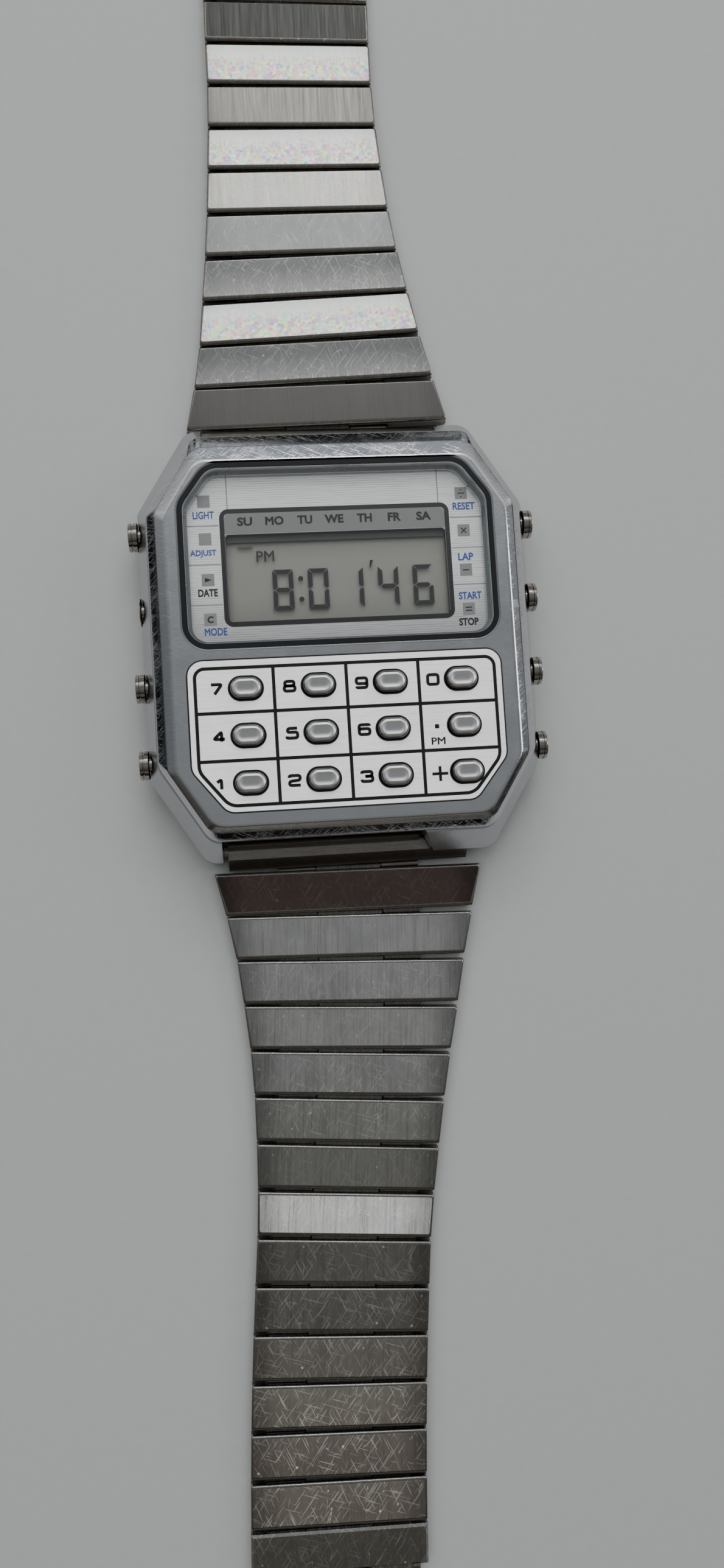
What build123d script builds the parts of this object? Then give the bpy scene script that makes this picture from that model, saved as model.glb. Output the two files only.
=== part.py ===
"""Wristwatch with a calculator keypad: steel case, folded-link bracelet and ladder clasp.

The origin is the middle of the case back's flat face, +Z goes up through the dial and +Y
points to the 12 o'clock end of the bracelet. All sizes are millimetres.
"""
import os
from math import atan2, cos, degrees, hypot, radians, sin

from build123d import *

os.makedirs("parts", exist_ok=True)

# Shared values
cut_overrun = 1.0
seat_gap = 0.05
sliding_gap = 0.05

# Case outline and levels
case_width = 36.0
case_length = 40.0
case_cut_across = 4.9
case_cut_along = 7.8
case_corner_radius = 1.8
case_bottom_z = 0.4
skirt_rise = 1.0
skirt_inset = 0.9
slope_start_z = 4.2
ridge_z = 6.8
ridge_side_inset = 0.95
ridge_end_inset = 1.7
ridge_cut_inset = 1.25
cavity_side_inset = 3.0
cavity_top_inset = 4.3
cavity_bottom_inset = 3.7
cavity_cut_inset = 3.55

# Case back
back_thickness = 1.0
back_side_inset = 2.1
back_end_inset = 3.1
back_cut_inset = 1.55
back_fit = 0.08
back_edge_break = 0.2
gasket_side_inset = 2.42
gasket_end_inset = 3.22
gasket_cut_inset = 3.06
gasket_width = 0.42
gasket_height = 0.35
screw_side_inset = 4.6
screw_end_inset = 5.25
screw_head_radius = 0.8
screw_head_height = 0.5
screw_head_sink = 0.08
screw_shank_radius = 0.42
screw_length = 3.0
screw_slot_width = 0.22
screw_slot_depth = 0.22

# Bezel
bezel_z = 9.0
bezel_step = 0.12
facet_z = 8.3
facet_side_inset = 1.9
facet_top_inset = 3.05
facet_bottom_inset = 2.55
facet_top_cut_inset = 2.14
facet_bottom_cut_inset = 1.84
flat_side_inset = 2.65
flat_top_inset = 4.45
flat_bottom_inset = 3.1
flat_top_cut_inset = 3.05
flat_bottom_cut_inset = 2.44

# Window, crystal and seal
window_side_margin = 1.25
window_top_margin = 0.2
window_bridge = 1.0
window_cut_across = 2.6
window_cut_along = 3.55
window_upper_radius = 2.3
window_lower_radius = 2.2
seal_width = 0.42
seal_proud = 0.04
ledge_width = 0.38
ledge_z = 8.0
ledge_thickness = 0.5
crystal_proud = 0.14
crystal_edge_break = 0.16

# Dial plate and display
dial_thickness = 0.25
dial_gap = 0.05
dial_inset = 0.25
display_side_inset = 4.1
display_top_inset = 6.05
display_bottom_inset = 2.58
display_corner_radius = 0.4
lcd_side_margin = 1.2
lcd_top_margin = 2.7
lcd_bottom_margin = 1.33
lcd_thickness = 1.05
lcd_glass_share = 0.5
lcd_glass_step = 0.9
lcd_drop = 0.3
strip_width = 0.8
strip_end_inset = 0.6
lamp_radius = 0.45
lamp_length = 3.2
lamp_side_inset = 0.7

# Key plate and keys
plate_side_margin = 1.38
plate_end_margin = 1.2
plate_length = 13.45
plate_cut_across = 2.97
plate_cut_along = 3.75
plate_side_border = 1.21
plate_end_border = 0.49
plate_corner_radius = 1.4
plate_fit = 0.07
plate_seat_z = 8.7
plate_proud = 0.1
key_columns = 4
key_rows = 3
key_shift_x = 0.69
key_shift_y = -0.035
key_length = 2.8
key_width = 1.9
key_hole_gap = 0.11
key_top_z = 9.72
key_crown = 0.38
key_flange_margin = 0.35
key_flange_thickness = 0.45
key_floor_z = 7.6
keypad_wall = 0.35
key_travel = 0.45

# Circuit board and what it carries
board_z = 4.9
board_thickness = 0.6
board_side_gap = 0.15
board_top_gap = 0.95
board_bottom_gap = 0.75
board_corner_cut = 3.4
membrane_side_inset = 0.35
membrane_top_inset = 0.35
membrane_bottom_inset = 0.5
membrane_corner_cut = 3.2
membrane_thickness = 0.5
dome_radius = 1.1
dome_taper = 0.35
chip_side = 8.0
chip_height = 0.8
chip_end_inset = 9.6
crystal_can_radius = 0.95
crystal_can_length = 6.0
crystal_can_side_inset = 3.75

# Movement frame, cells and clamp
frame_side_gap = 1.6
frame_end_gap = 0.15
frame_wall = 0.5
frame_low_rim_z = 6.4
frame_bottom_z = 1.2
cell_radius = 4.75
cell_height = 2.7
cell_rim = 0.5
cell_rim_step = 0.3
cell_spacing = 0.6
cell_end_inset = 6.75
cell_gap = 0.15
clamp_margin = 0.6
clamp_thickness = 0.2
clamp_window_radius = 3.2

# Side pushers
pusher_rows = 4
pusher_top_inset = 1.88
pusher_bottom_inset = 1.46
pusher_z = 3.8
pusher_head_radius = 1.32
pusher_proud = 1.1
pusher_flush_proud = 0.12
pusher_head_inside = 0.5
pusher_stem_radius = 0.55
pusher_travel = 0.7
pusher_flush_travel = 0.4
pusher_gap = 0.07
pusher_edge_break = 0.18
pusher_groove = 0.12
pusher_groove_width = 0.16
pusher_bore_depth = 1.4
pusher_spot_radius = 1.9
pusher_spot_depth = 0.1
clip_radius = 1.05
clip_thickness = 0.28
clip_gap = 0.1
seal_ring_radius = 1.0
seal_ring_length = 0.5
seal_fit = 0.01
contact_thickness = 0.15
contact_height = 2.4
contact_length = 2.2

# Bracelet links
band_width = 16.0
link_pitch = 4.25
link_gap = 0.32
link_height = 1.9
skin_thickness = 0.55
skin_edge_break = 0.2
flange_thickness = 0.45
flange_end_gap = 0.55
lip_bottom_z = 0.45
lip_side_gap = 0.25
hinge_z = 0.65
knuckle_radius = 0.6
knuckle_web = 0.35
knuckle_reach = 1.05
middle_knuckle = 3.0
knuckle_side_gap = 0.95
knuckle_gap = 0.15
pin_radius = 0.33
pin_running_gap = 0.08
pin_press_gap = 0.01
taper_flare = 0.8
taper_shares = (1.0, 0.775, 0.58, 0.435, 0.29, 0.18, 0.1, 0.035)
upper_yaws = (1.1, 2.1, 2.7, 2.1, 1.3, 0.8, 0.4, 0.0, -0.4, -0.8, -1.2)
lower_yaws = (
    -1.1, -2.2, -3.2, -4.1, -4.9, -5.5, -5.8, -5.8, -5.7, -5.4, -4.9, -4.2, -3.5, -2.9, -2.4
)

# Bracelet ends in the case
bar_end_inset = 1.0
bar_z = 2.3
bar_radius = 0.6
bar_tip_radius = 0.38
bar_tip_length = 0.8
bar_gap = 0.08
recess_side_inset = 6.25
recess_depth = 2.15
recess_ceiling_z = 3.5
recess_top_shoulder = 2.35
recess_bottom_shoulder = 5.35
recess_slant = 1.1
end_link_side_gap = 0.65
end_link_reach = 2.05
end_link_barrel = 0.95
end_link_shoulder = 0.8
end_link_nose = 0.25
upper_hinge_x = -0.6
lower_hinge_x = -0.2

# Clasp
clasp_length = 29.0
clasp_floor = 0.45
clasp_hinge_y = 4.4
clasp_hinge_z = 1.45
clasp_knuckle_radius = 0.42
clasp_pin_radius = 0.22
clasp_side_gap = 0.15
clasp_skin_gap = 0.75
clasp_wall_y = 1.3
clasp_wall = 0.7
clasp_hook_y = 13.0
clasp_hook_length = 1.1
ladder_side_inset = 3.0
ladder_length = 26.0
ladder_thickness = 0.8
ladder_slots = 5
ladder_slot_margin = 1.7
ladder_slot_length = 1.6
ladder_slot_pitch = 3.6

# Derived places
case_side = case_width / 2
case_end = case_length / 2
cut_run = hypot(case_cut_across, case_cut_along)
cut_normal_x = case_cut_along / cut_run
cut_normal_y = case_cut_across / cut_run
cut_distance = (case_side - case_cut_across) * cut_normal_x + case_end * cut_normal_y
screw_x = case_side - screw_side_inset
screw_y = case_end - screw_end_inset
plate_side = case_side - flat_side_inset - plate_side_margin
plate_bottom = flat_bottom_inset + plate_end_margin - case_end
plate_top = plate_bottom + plate_length
plate_cut_x = plate_side - plate_cut_across
plate_cut_y = plate_bottom + plate_cut_along
key_pitch_x = 2 * (plate_side - plate_side_border) / key_columns
key_pitch_y = (plate_length - 2 * plate_end_border) / key_rows
key_centre_y = (plate_top + plate_bottom) / 2 + key_shift_y
window_side = case_side - flat_side_inset - window_side_margin
window_top = case_end - flat_top_inset - window_top_margin
window_bottom = plate_top + window_bridge
window_cut_x = window_side - window_cut_across
window_cut_y = window_top - window_cut_along
display_side = window_side - display_side_inset
display_top = window_top - display_top_inset
display_bottom = window_bottom + display_bottom_inset
lcd_side = display_side + lcd_side_margin
lcd_top = display_top + lcd_top_margin
lcd_bottom = display_bottom - lcd_bottom_margin
lcd_centre_y = (lcd_top + lcd_bottom) / 2
cavity_wall = case_side - cavity_side_inset
frame_side = cavity_wall - frame_side_gap
frame_top = case_end - cavity_top_inset - frame_end_gap
frame_bottom = frame_end_gap + cavity_bottom_inset - case_end
board_side = frame_side - frame_wall - board_side_gap
board_top = frame_top - board_top_gap
board_bottom = frame_bottom + board_bottom_gap
membrane_side = board_side - membrane_side_inset
membrane_top = plate_top - membrane_top_inset
membrane_bottom = plate_bottom + membrane_bottom_inset
chip_y = board_top - chip_end_inset
crystal_can_x = crystal_can_side_inset - board_side
lamp_x = lamp_side_inset - board_side
cell_x = cell_radius + cell_spacing / 2
cell_y = frame_bottom + cell_end_inset
pusher_first_y = case_end - case_cut_along - pusher_top_inset
pusher_last_y = case_cut_along + pusher_bottom_inset - case_end
pusher_pitch = (pusher_first_y - pusher_last_y) / (pusher_rows - 1)
bar_y = case_end - bar_end_inset
recess_side = case_side - recess_side_inset
recess_inner_y = case_end - recess_depth
recess_top_right = recess_side - recess_top_shoulder
recess_bottom_right = recess_side - recess_bottom_shoulder
end_link_width = 2 * (recess_side - end_link_side_gap)
taper_wide = 2 * (recess_side + taper_flare)
outer_knuckle = band_width / 2 - flange_thickness - knuckle_side_gap
ladder_width = band_width - 2 * ladder_side_inset
ladder_slot_width = ladder_width - 2 * ladder_slot_margin
dial_z = ledge_z - ledge_thickness - dial_gap
lcd_z = dial_z - dial_thickness - lcd_drop
board_top_z = board_z + board_thickness
plate_thickness = bezel_z + plate_proud - plate_seat_z
flange_top_z = key_floor_z - sliding_gap
flange_bottom_z = flange_top_z - key_flange_thickness
cell_z = frame_bottom_z


def export(piece, name):
    """Labels a finished piece and writes it as its own STEP file."""
    piece.label = name
    export_step(piece, f"parts/{name}.step")


def case_outline(height, side_inset, top_inset, bottom_inset, top_cut, bottom_cut, radius):
    """Outline of the case moved inwards, with its four slanted corners, at one height."""
    side = case_side - side_inset
    top = case_end - top_inset
    bottom = case_end - bottom_inset
    upper = cut_distance - top_cut
    lower = cut_distance - bottom_cut
    right = [
        ((upper - top * cut_normal_y) / cut_normal_x, top),
        (side, (upper - side * cut_normal_x) / cut_normal_y),
        (side, -(lower - side * cut_normal_x) / cut_normal_y),
        ((lower - bottom * cut_normal_y) / cut_normal_x, -bottom),
    ]
    left = [(-x, y) for x, y in reversed(right)]
    with BuildSketch(Plane.XY.offset(height)) as outline:
        with BuildLine():
            Polyline(*right, *left, close=True)
        make_face()
        fillet(outline.vertices(), radius)
    return outline.sketch


def window_outline(height, inset, shrink=0):
    """Outline of the display window: slanted upper corners and round lower ones."""
    right = [
        (window_cut_x, window_top),
        (window_side, window_cut_y),
        (window_side, window_bottom),
    ]
    left = [(-x, y) for x, y in reversed(right)]
    with BuildSketch(Plane.XY.offset(height)) as outline:
        with BuildLine():
            Polyline(*right, *left, close=True)
        make_face()
        if inset > 0:
            offset(amount=-inset, kind=Kind.INTERSECTION, mode=Mode.REPLACE)
        corners = outline.vertices().sort_by(Axis.Y)
        fillet(corners[:2], window_lower_radius - inset)
        corners = outline.vertices().sort_by(Axis.Y)
        fillet(corners[4:], window_upper_radius - shrink)
    return outline.sketch


def plate_outline(height, inset):
    """Outline of the key plate: small upper corners and slanted lower ones."""
    right = [
        (plate_side, plate_top),
        (plate_side, plate_cut_y),
        (plate_cut_x, plate_bottom),
    ]
    left = [(-x, y) for x, y in reversed(right)]
    with BuildSketch(Plane.XY.offset(height)) as outline:
        with BuildLine():
            Polyline(*right, *left, close=True)
        make_face()
        offset(amount=-inset, kind=Kind.INTERSECTION, mode=Mode.REPLACE)
        fillet(outline.vertices(), plate_corner_radius - inset)
    return outline.sketch


def cut_rectangle(height, side, top, bottom, cut):
    """Rectangle with its four corners cut at 45 degrees, as boards and sheets have."""
    points = [
        (side - cut, top),
        (side, top - cut),
        (side, bottom + cut),
        (side - cut, bottom),
    ]
    mirrored = [(-x, y) for x, y in reversed(points)]
    with BuildSketch(Plane.XY.offset(height)) as outline:
        with BuildLine():
            Polyline(*points, *mirrored, close=True)
        make_face()
    return outline.sketch


def key_slots(height, margin):
    """The keypad's twelve stadium shapes, wider than the key caps by a margin all round."""
    with BuildSketch(Plane.XY.offset(height)) as slots:
        with Locations((key_shift_x, key_centre_y)):
            with GridLocations(key_pitch_x, key_pitch_y, key_columns, key_rows):
                SlotOverall(key_length + 2 * margin, key_width + 2 * margin)
    return slots.sketch


def pusher_plane(sign, y, distance):
    """Plane square to a pusher's axis, looking out of the case on one side."""
    origin = (sign * distance, y, pusher_z)
    return Plane(origin=origin, x_dir=(0, 1, 0), z_dir=(sign, 0, 0))


def disc(plane, radius):
    """Round sketch on a plane."""
    with BuildSketch(plane) as sketch:
        Circle(radius)
    return sketch.sketch


pusher_places = [
    (sign, pusher_first_y - row * pusher_pitch) for sign in (-1, 1) for row in range(pusher_rows)
]

# Case body: skirt, straight wall and slope, with the cavity, lug recesses and pusher bores
cavity_insets = (cavity_side_inset, cavity_top_inset, cavity_bottom_inset)
cavity_cuts = (cavity_cut_inset, cavity_cut_inset, case_corner_radius)
full_outline = (0, 0, 0, 0, 0, case_corner_radius)
skirt_outline = (skirt_inset,) * 5
ridge_outline = (
    ridge_side_inset, ridge_end_inset, ridge_end_inset, ridge_cut_inset, ridge_cut_inset
)
back_insets = (back_side_inset, back_end_inset, back_end_inset, back_cut_inset, back_cut_inset)
back_seat_insets = tuple(inset - back_fit for inset in back_insets)
gasket_insets = (
    gasket_side_inset, gasket_end_inset, gasket_end_inset, gasket_cut_inset, gasket_cut_inset
)
gasket_inner_insets = tuple(inset + gasket_width for inset in gasket_insets)


def recess_opening(sign, right):
    """Open top of a lug recess: square at the left end, slanted at the right end."""
    inner = sign * recess_inner_y
    outer = sign * (case_end + cut_overrun)
    slant = recess_slant * (case_end + cut_overrun - recess_inner_y) / (case_end - recess_inner_y)
    with BuildSketch(Plane.XY.offset(case_bottom_z - cut_overrun)) as opening:
        with BuildLine():
            Polyline(
                (-recess_side, inner),
                (right, inner),
                (right + slant, outer),
                (-recess_side, outer),
                close=True,
            )
        make_face()
    return opening.sketch


with BuildPart() as case_body:
    skirt_top_z = case_bottom_z + skirt_rise
    loft([
        case_outline(case_bottom_z, *skirt_outline, case_corner_radius),
        case_outline(skirt_top_z, *full_outline),
    ])
    extrude(case_outline(skirt_top_z, *full_outline), amount=slope_start_z - skirt_top_z)
    loft([
        case_outline(slope_start_z, *full_outline),
        case_outline(ridge_z, *ridge_outline, case_corner_radius),
    ])
    extrude(
        case_outline(case_bottom_z, *cavity_insets, *cavity_cuts),
        amount=ridge_z - case_bottom_z,
        mode=Mode.SUBTRACT,
    )
    extrude(
        case_outline(case_bottom_z, *back_seat_insets, case_corner_radius),
        amount=back_thickness - case_bottom_z,
        mode=Mode.SUBTRACT,
    )
    # Groove for the back gasket
    with BuildSketch(Plane.XY.offset(back_thickness)):
        add(case_outline(0, *gasket_insets, case_corner_radius))
        add(case_outline(0, *gasket_inner_insets, case_corner_radius), mode=Mode.SUBTRACT)
    extrude(amount=gasket_height, mode=Mode.SUBTRACT)
    # Lug recesses: a slot from below, open at the top over part of its width
    for sign, right in ((1, recess_top_right), (-1, recess_bottom_right)):
        extrude(recess_opening(sign, right), amount=case_width, mode=Mode.SUBTRACT)
        depth = case_end + cut_overrun - recess_inner_y
        with BuildSketch(Plane.XY.offset(case_bottom_z - cut_overrun)):
            with Locations((0, sign * (recess_inner_y + depth / 2))):
                Rectangle(2 * recess_side, depth)
        extrude(amount=recess_ceiling_z - case_bottom_z + cut_overrun, mode=Mode.SUBTRACT)
        with BuildSketch(Plane.YZ):
            with Locations((sign * bar_y, bar_z)):
                Circle(bar_tip_radius + bar_gap)
        extrude(amount=recess_side + bar_tip_length + bar_gap, both=True, mode=Mode.SUBTRACT)
    # Pusher bores: a shallow spot face, a wide bore for the head, a seal seat and a stem hole
    bore_floor = case_side - pusher_bore_depth
    for sign, y in pusher_places:
        spot_plane = pusher_plane(sign, y, case_side - pusher_spot_depth)
        extrude(disc(spot_plane, pusher_spot_radius), amount=cut_overrun, mode=Mode.SUBTRACT)
        head_bore = disc(pusher_plane(sign, y, bore_floor), pusher_head_radius + pusher_gap)
        extrude(head_bore, amount=pusher_bore_depth + cut_overrun, mode=Mode.SUBTRACT)
        seal_plane = pusher_plane(sign, y, bore_floor - seal_ring_length)
        extrude(disc(seal_plane, seal_ring_radius), amount=seal_ring_length, mode=Mode.SUBTRACT)
        stem_plane = pusher_plane(sign, y, case_side - cavity_side_inset - cut_overrun)
        stem_bore = disc(stem_plane, pusher_stem_radius + pusher_gap)
        extrude(stem_bore, amount=cavity_side_inset, mode=Mode.SUBTRACT)
        clip_pocket = disc(pusher_plane(sign, y, frame_side), clip_radius + clip_gap)
        extrude(clip_pocket, amount=cavity_wall - frame_side, mode=Mode.SUBTRACT)
    # Screw holes for the back
    with BuildSketch(Plane.XY.offset(case_bottom_z)):
        with GridLocations(2 * screw_x, 2 * screw_y, 2, 2):
            Circle(screw_shank_radius + seat_gap)
    extrude(amount=screw_length + seat_gap, mode=Mode.SUBTRACT)
export(case_body.part, "case_body")

# Case back plate with counterbored corners
with BuildPart() as case_back:
    extrude(case_outline(0, *back_insets, case_corner_radius), amount=back_thickness)
    chamfer(case_back.faces().sort_by(Axis.Z)[0].edges(), back_edge_break)
    with BuildSketch(Plane.XY):
        with GridLocations(2 * screw_x, 2 * screw_y, 2, 2):
            Circle(screw_head_radius + seat_gap)
    extrude(amount=screw_head_height + screw_head_sink, mode=Mode.SUBTRACT)
    with BuildSketch(Plane.XY):
        with GridLocations(2 * screw_x, 2 * screw_y, 2, 2):
            Circle(screw_shank_radius + seat_gap)
    extrude(amount=back_thickness, mode=Mode.SUBTRACT)
export(case_back.part, "case_back")

with BuildPart() as back_gasket:
    with BuildSketch(Plane.XY.offset(back_thickness)):
        add(case_outline(0, *gasket_insets, case_corner_radius))
        add(case_outline(0, *gasket_inner_insets, case_corner_radius), mode=Mode.SUBTRACT)
    extrude(amount=gasket_height)
export(back_gasket.part, "back_gasket")

with BuildPart() as back_screws:
    with BuildSketch(Plane.XY.offset(screw_head_sink)):
        with GridLocations(2 * screw_x, 2 * screw_y, 2, 2):
            Circle(screw_head_radius)
    extrude(amount=screw_head_height)
    with BuildSketch(Plane.XY.offset(screw_head_sink + screw_head_height)):
        with GridLocations(2 * screw_x, 2 * screw_y, 2, 2):
            Circle(screw_shank_radius)
    extrude(amount=screw_length - screw_head_height)
    with BuildSketch(Plane.XY.offset(screw_head_sink)):
        with GridLocations(2 * screw_x, 2 * screw_y, 2, 2):
            Rectangle(2 * screw_head_radius, screw_slot_width)
    extrude(amount=screw_slot_depth, mode=Mode.SUBTRACT)
export(back_screws.part, "back_screws")

# Bezel: two facets up to the flat top, with the window, the key plate seat and key holes
facet_insets = (facet_side_inset, facet_top_inset, facet_bottom_inset)
facet_cuts = (facet_top_cut_inset, facet_bottom_cut_inset)
flat_insets = (flat_side_inset, flat_top_inset, flat_bottom_inset)
flat_cuts = (flat_top_cut_inset, flat_bottom_cut_inset)
bezel_foot = tuple(inset + bezel_step for inset in ridge_outline)

with BuildPart() as bezel:
    loft([
        case_outline(ridge_z, *bezel_foot, case_corner_radius),
        case_outline(facet_z, *facet_insets, *facet_cuts, case_corner_radius),
    ])
    loft([
        case_outline(facet_z, *facet_insets, *facet_cuts, case_corner_radius),
        case_outline(bezel_z, *flat_insets, *flat_cuts, case_corner_radius),
    ])
    extrude(window_outline(ledge_z, 0), amount=bezel_z - ledge_z, mode=Mode.SUBTRACT)
    extrude(
        window_outline(ridge_z, seal_width + ledge_width, ledge_width),
        amount=bezel_z - ridge_z,
        mode=Mode.SUBTRACT,
    )
    extrude(plate_outline(plate_seat_z, 0), amount=bezel_z - plate_seat_z, mode=Mode.SUBTRACT)
    extrude(key_slots(ridge_z, key_hole_gap), amount=bezel_z - ridge_z, mode=Mode.SUBTRACT)
    # Hollow underside: higher under the keypad than under the display ledge
    ceiling_z = ledge_z - ledge_thickness
    extrude(
        case_outline(ridge_z, *cavity_insets, *cavity_cuts),
        amount=ceiling_z - ridge_z,
        mode=Mode.SUBTRACT,
    )
    keypad_height = plate_top - plate_bottom
    with BuildSketch(Plane.XY.offset(ceiling_z)):
        with Locations((0, (plate_top + plate_bottom) / 2)):
            Rectangle(2 * membrane_side, keypad_height - 2 * keypad_wall)
    extrude(amount=key_floor_z - ceiling_z, mode=Mode.SUBTRACT)
export(bezel.part, "bezel")

# Crystal and its black seal in the window
with BuildPart() as crystal_seal:
    extrude(window_outline(ledge_z, 0), amount=bezel_z + seal_proud - ledge_z)
    extrude(
        window_outline(ledge_z, seal_width, seal_width),
        amount=bezel_z + seal_proud - ledge_z,
        mode=Mode.SUBTRACT,
    )
export(crystal_seal.part, "crystal_seal")

with BuildPart() as crystal:
    extrude(
        window_outline(ledge_z, seal_width, seal_width),
        amount=bezel_z + crystal_proud - ledge_z,
    )
    chamfer(crystal.faces().sort_by(Axis.Z)[-1].edges(), crystal_edge_break)
export(crystal.part, "crystal")

# Dial plate with the display opening
with BuildPart() as dial_plate:
    extrude(window_outline(dial_z - dial_thickness, dial_inset, dial_inset), amount=dial_thickness)
    with BuildSketch(Plane.XY.offset(dial_z - dial_thickness)):
        with Locations((0, (display_top + display_bottom) / 2)):
            RectangleRounded(2 * display_side, display_top - display_bottom, display_corner_radius)
    extrude(amount=dial_thickness, mode=Mode.SUBTRACT)
export(dial_plate.part, "dial_plate")

# Display: a wide lower glass and a narrower upper one, on two rubber contact strips
with BuildPart() as lcd_panel:
    lower_glass = lcd_thickness * lcd_glass_share
    lcd_height = lcd_top - lcd_bottom
    with BuildSketch(Plane.XY.offset(lcd_z - lcd_thickness)):
        with Locations((0, lcd_centre_y)):
            Rectangle(2 * lcd_side, lcd_height)
    extrude(amount=lower_glass)
    with BuildSketch(Plane.XY.offset(lcd_z - lcd_thickness + lower_glass)):
        with Locations((0, lcd_centre_y)):
            Rectangle(2 * lcd_side, lcd_height - 2 * lcd_glass_step)
    extrude(amount=lcd_thickness - lower_glass)
export(lcd_panel.part, "lcd_panel")

with BuildPart() as contact_strips:
    with BuildSketch(Plane.XY.offset(board_top_z)):
        with Locations((0, lcd_centre_y)):
            with GridLocations(0, lcd_height - strip_width, 1, 2):
                Rectangle(2 * (lcd_side - strip_end_inset), strip_width)
    extrude(amount=lcd_z - lcd_thickness - board_top_z)
export(contact_strips.part, "contact_strips")

# Key plate, keys and the rubber sheet below them
with BuildPart() as key_plate:
    extrude(plate_outline(plate_seat_z, plate_fit), amount=plate_thickness)
    extrude(key_slots(plate_seat_z, key_hole_gap), amount=plate_thickness, mode=Mode.SUBTRACT)
export(key_plate.part, "key_plate")

key_names = (
    ("key_7", "key_8", "key_9", "key_0"),
    ("key_4", "key_5", "key_6", "key_point"),
    ("key_1", "key_2", "key_3", "key_plus"),
)
for row, names in enumerate(key_names):
    for column, name in enumerate(names):
        x = key_shift_x + (column - (key_columns - 1) / 2) * key_pitch_x
        y = key_centre_y - (row - (key_rows - 1) / 2) * key_pitch_y
        with BuildPart() as key:
            with BuildSketch(Plane.XY.offset(flange_bottom_z)):
                with Locations((x, y)):
                    SlotOverall(
                        key_length + 2 * key_flange_margin, key_width + 2 * key_flange_margin
                    )
            extrude(amount=key_flange_thickness)
            with BuildSketch(Plane.XY.offset(flange_top_z)):
                with Locations((x, y)):
                    SlotOverall(key_length, key_width)
            extrude(amount=key_top_z - flange_top_z)
            fillet(key.faces().sort_by(Axis.Z)[-1].edges(), key_crown)
        export(key.part, name)

with BuildPart() as key_membrane:
    extrude(
        cut_rectangle(
            board_top_z, membrane_side, membrane_top, membrane_bottom, membrane_corner_cut
        ),
        amount=membrane_thickness,
    )
    dome_height = flange_bottom_z - key_travel - board_top_z - membrane_thickness
    with BuildSketch(Plane.XY.offset(board_top_z + membrane_thickness)):
        with Locations((key_shift_x, key_centre_y)):
            with GridLocations(key_pitch_x, key_pitch_y, key_columns, key_rows):
                Circle(dome_radius)
    extrude(amount=dome_height - seat_gap, taper=degrees(atan2(dome_taper, dome_height)))
export(key_membrane.part, "key_membrane")

# Circuit board with its chip, quartz can and lamp
with BuildPart() as circuit_board:
    extrude(
        cut_rectangle(board_z, board_side, board_top, board_bottom, board_corner_cut),
        amount=board_thickness,
    )
export(circuit_board.part, "circuit_board")

with BuildPart() as processor_chip:
    with BuildSketch(Plane.XY.offset(board_z - chip_height)):
        with Locations((0, chip_y)):
            Rectangle(chip_side, chip_side)
    extrude(amount=chip_height)
export(processor_chip.part, "processor_chip")

can_z = board_z - crystal_can_radius
with BuildPart() as quartz_can:
    with BuildSketch(Plane.XZ.offset(-chip_y)):
        with Locations((crystal_can_x, can_z)):
            Circle(crystal_can_radius)
    extrude(amount=crystal_can_length / 2, both=True)
export(quartz_can.part, "quartz_can")

lamp_z = board_top_z + lamp_radius
with BuildPart() as lamp:
    with BuildSketch(Plane.XZ.offset(-lcd_centre_y)):
        with Locations((lamp_x, lamp_z)):
            Circle(lamp_radius)
    extrude(amount=lamp_length / 2, both=True)
    fillet(lamp.edges().filter_by(GeomType.CIRCLE), lamp_radius / 2)
export(lamp.part, "lamp")

# Movement frame with pockets for the cells, the chip and the quartz can, and a dial rim
frame_cut = frame_side - board_side + board_corner_cut
with BuildPart() as module_frame:
    extrude(
        cut_rectangle(frame_bottom_z, frame_side, frame_top, frame_bottom, frame_cut),
        amount=board_z - frame_bottom_z,
    )
    extrude(
        cut_rectangle(board_z, frame_side, frame_top, frame_bottom, frame_cut),
        amount=dial_z - dial_thickness - board_z,
    )
    rim_inner = frame_side - frame_wall
    extrude(
        cut_rectangle(
            board_z, rim_inner, board_top + seat_gap, board_bottom - seat_gap, board_corner_cut
        ),
        amount=dial_z - board_z,
        mode=Mode.SUBTRACT,
    )
    # The rim stands lower round the keypad, under the key flanges
    low_rim_length = plate_top - frame_bottom
    with BuildSketch(Plane.XY.offset(frame_low_rim_z)):
        with Locations((0, frame_bottom + low_rim_length / 2)):
            Rectangle(2 * frame_side, low_rim_length)
    extrude(amount=dial_z - frame_low_rim_z, mode=Mode.SUBTRACT)
    with BuildSketch(Plane.XY.offset(frame_bottom_z)):
        with Locations((0, cell_y)):
            with GridLocations(2 * cell_x, 0, 2, 1):
                Circle(cell_radius + cell_gap)
    extrude(amount=cell_height + cell_gap, mode=Mode.SUBTRACT)
    with BuildSketch(Plane.XY.offset(board_z - chip_height - cell_gap)):
        with Locations((0, chip_y)):
            Rectangle(chip_side + 2 * cell_gap, chip_side + 2 * cell_gap)
    extrude(amount=chip_height + cell_gap, mode=Mode.SUBTRACT)
    can_pocket = crystal_can_radius + cell_gap
    with BuildSketch(Plane.XY.offset(can_z - can_pocket)):
        with Locations((crystal_can_x, chip_y)):
            Rectangle(2 * can_pocket, crystal_can_length + 2 * cell_gap)
    extrude(amount=board_z - can_z + can_pocket, mode=Mode.SUBTRACT)
export(module_frame.part, "module_frame")

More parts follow.
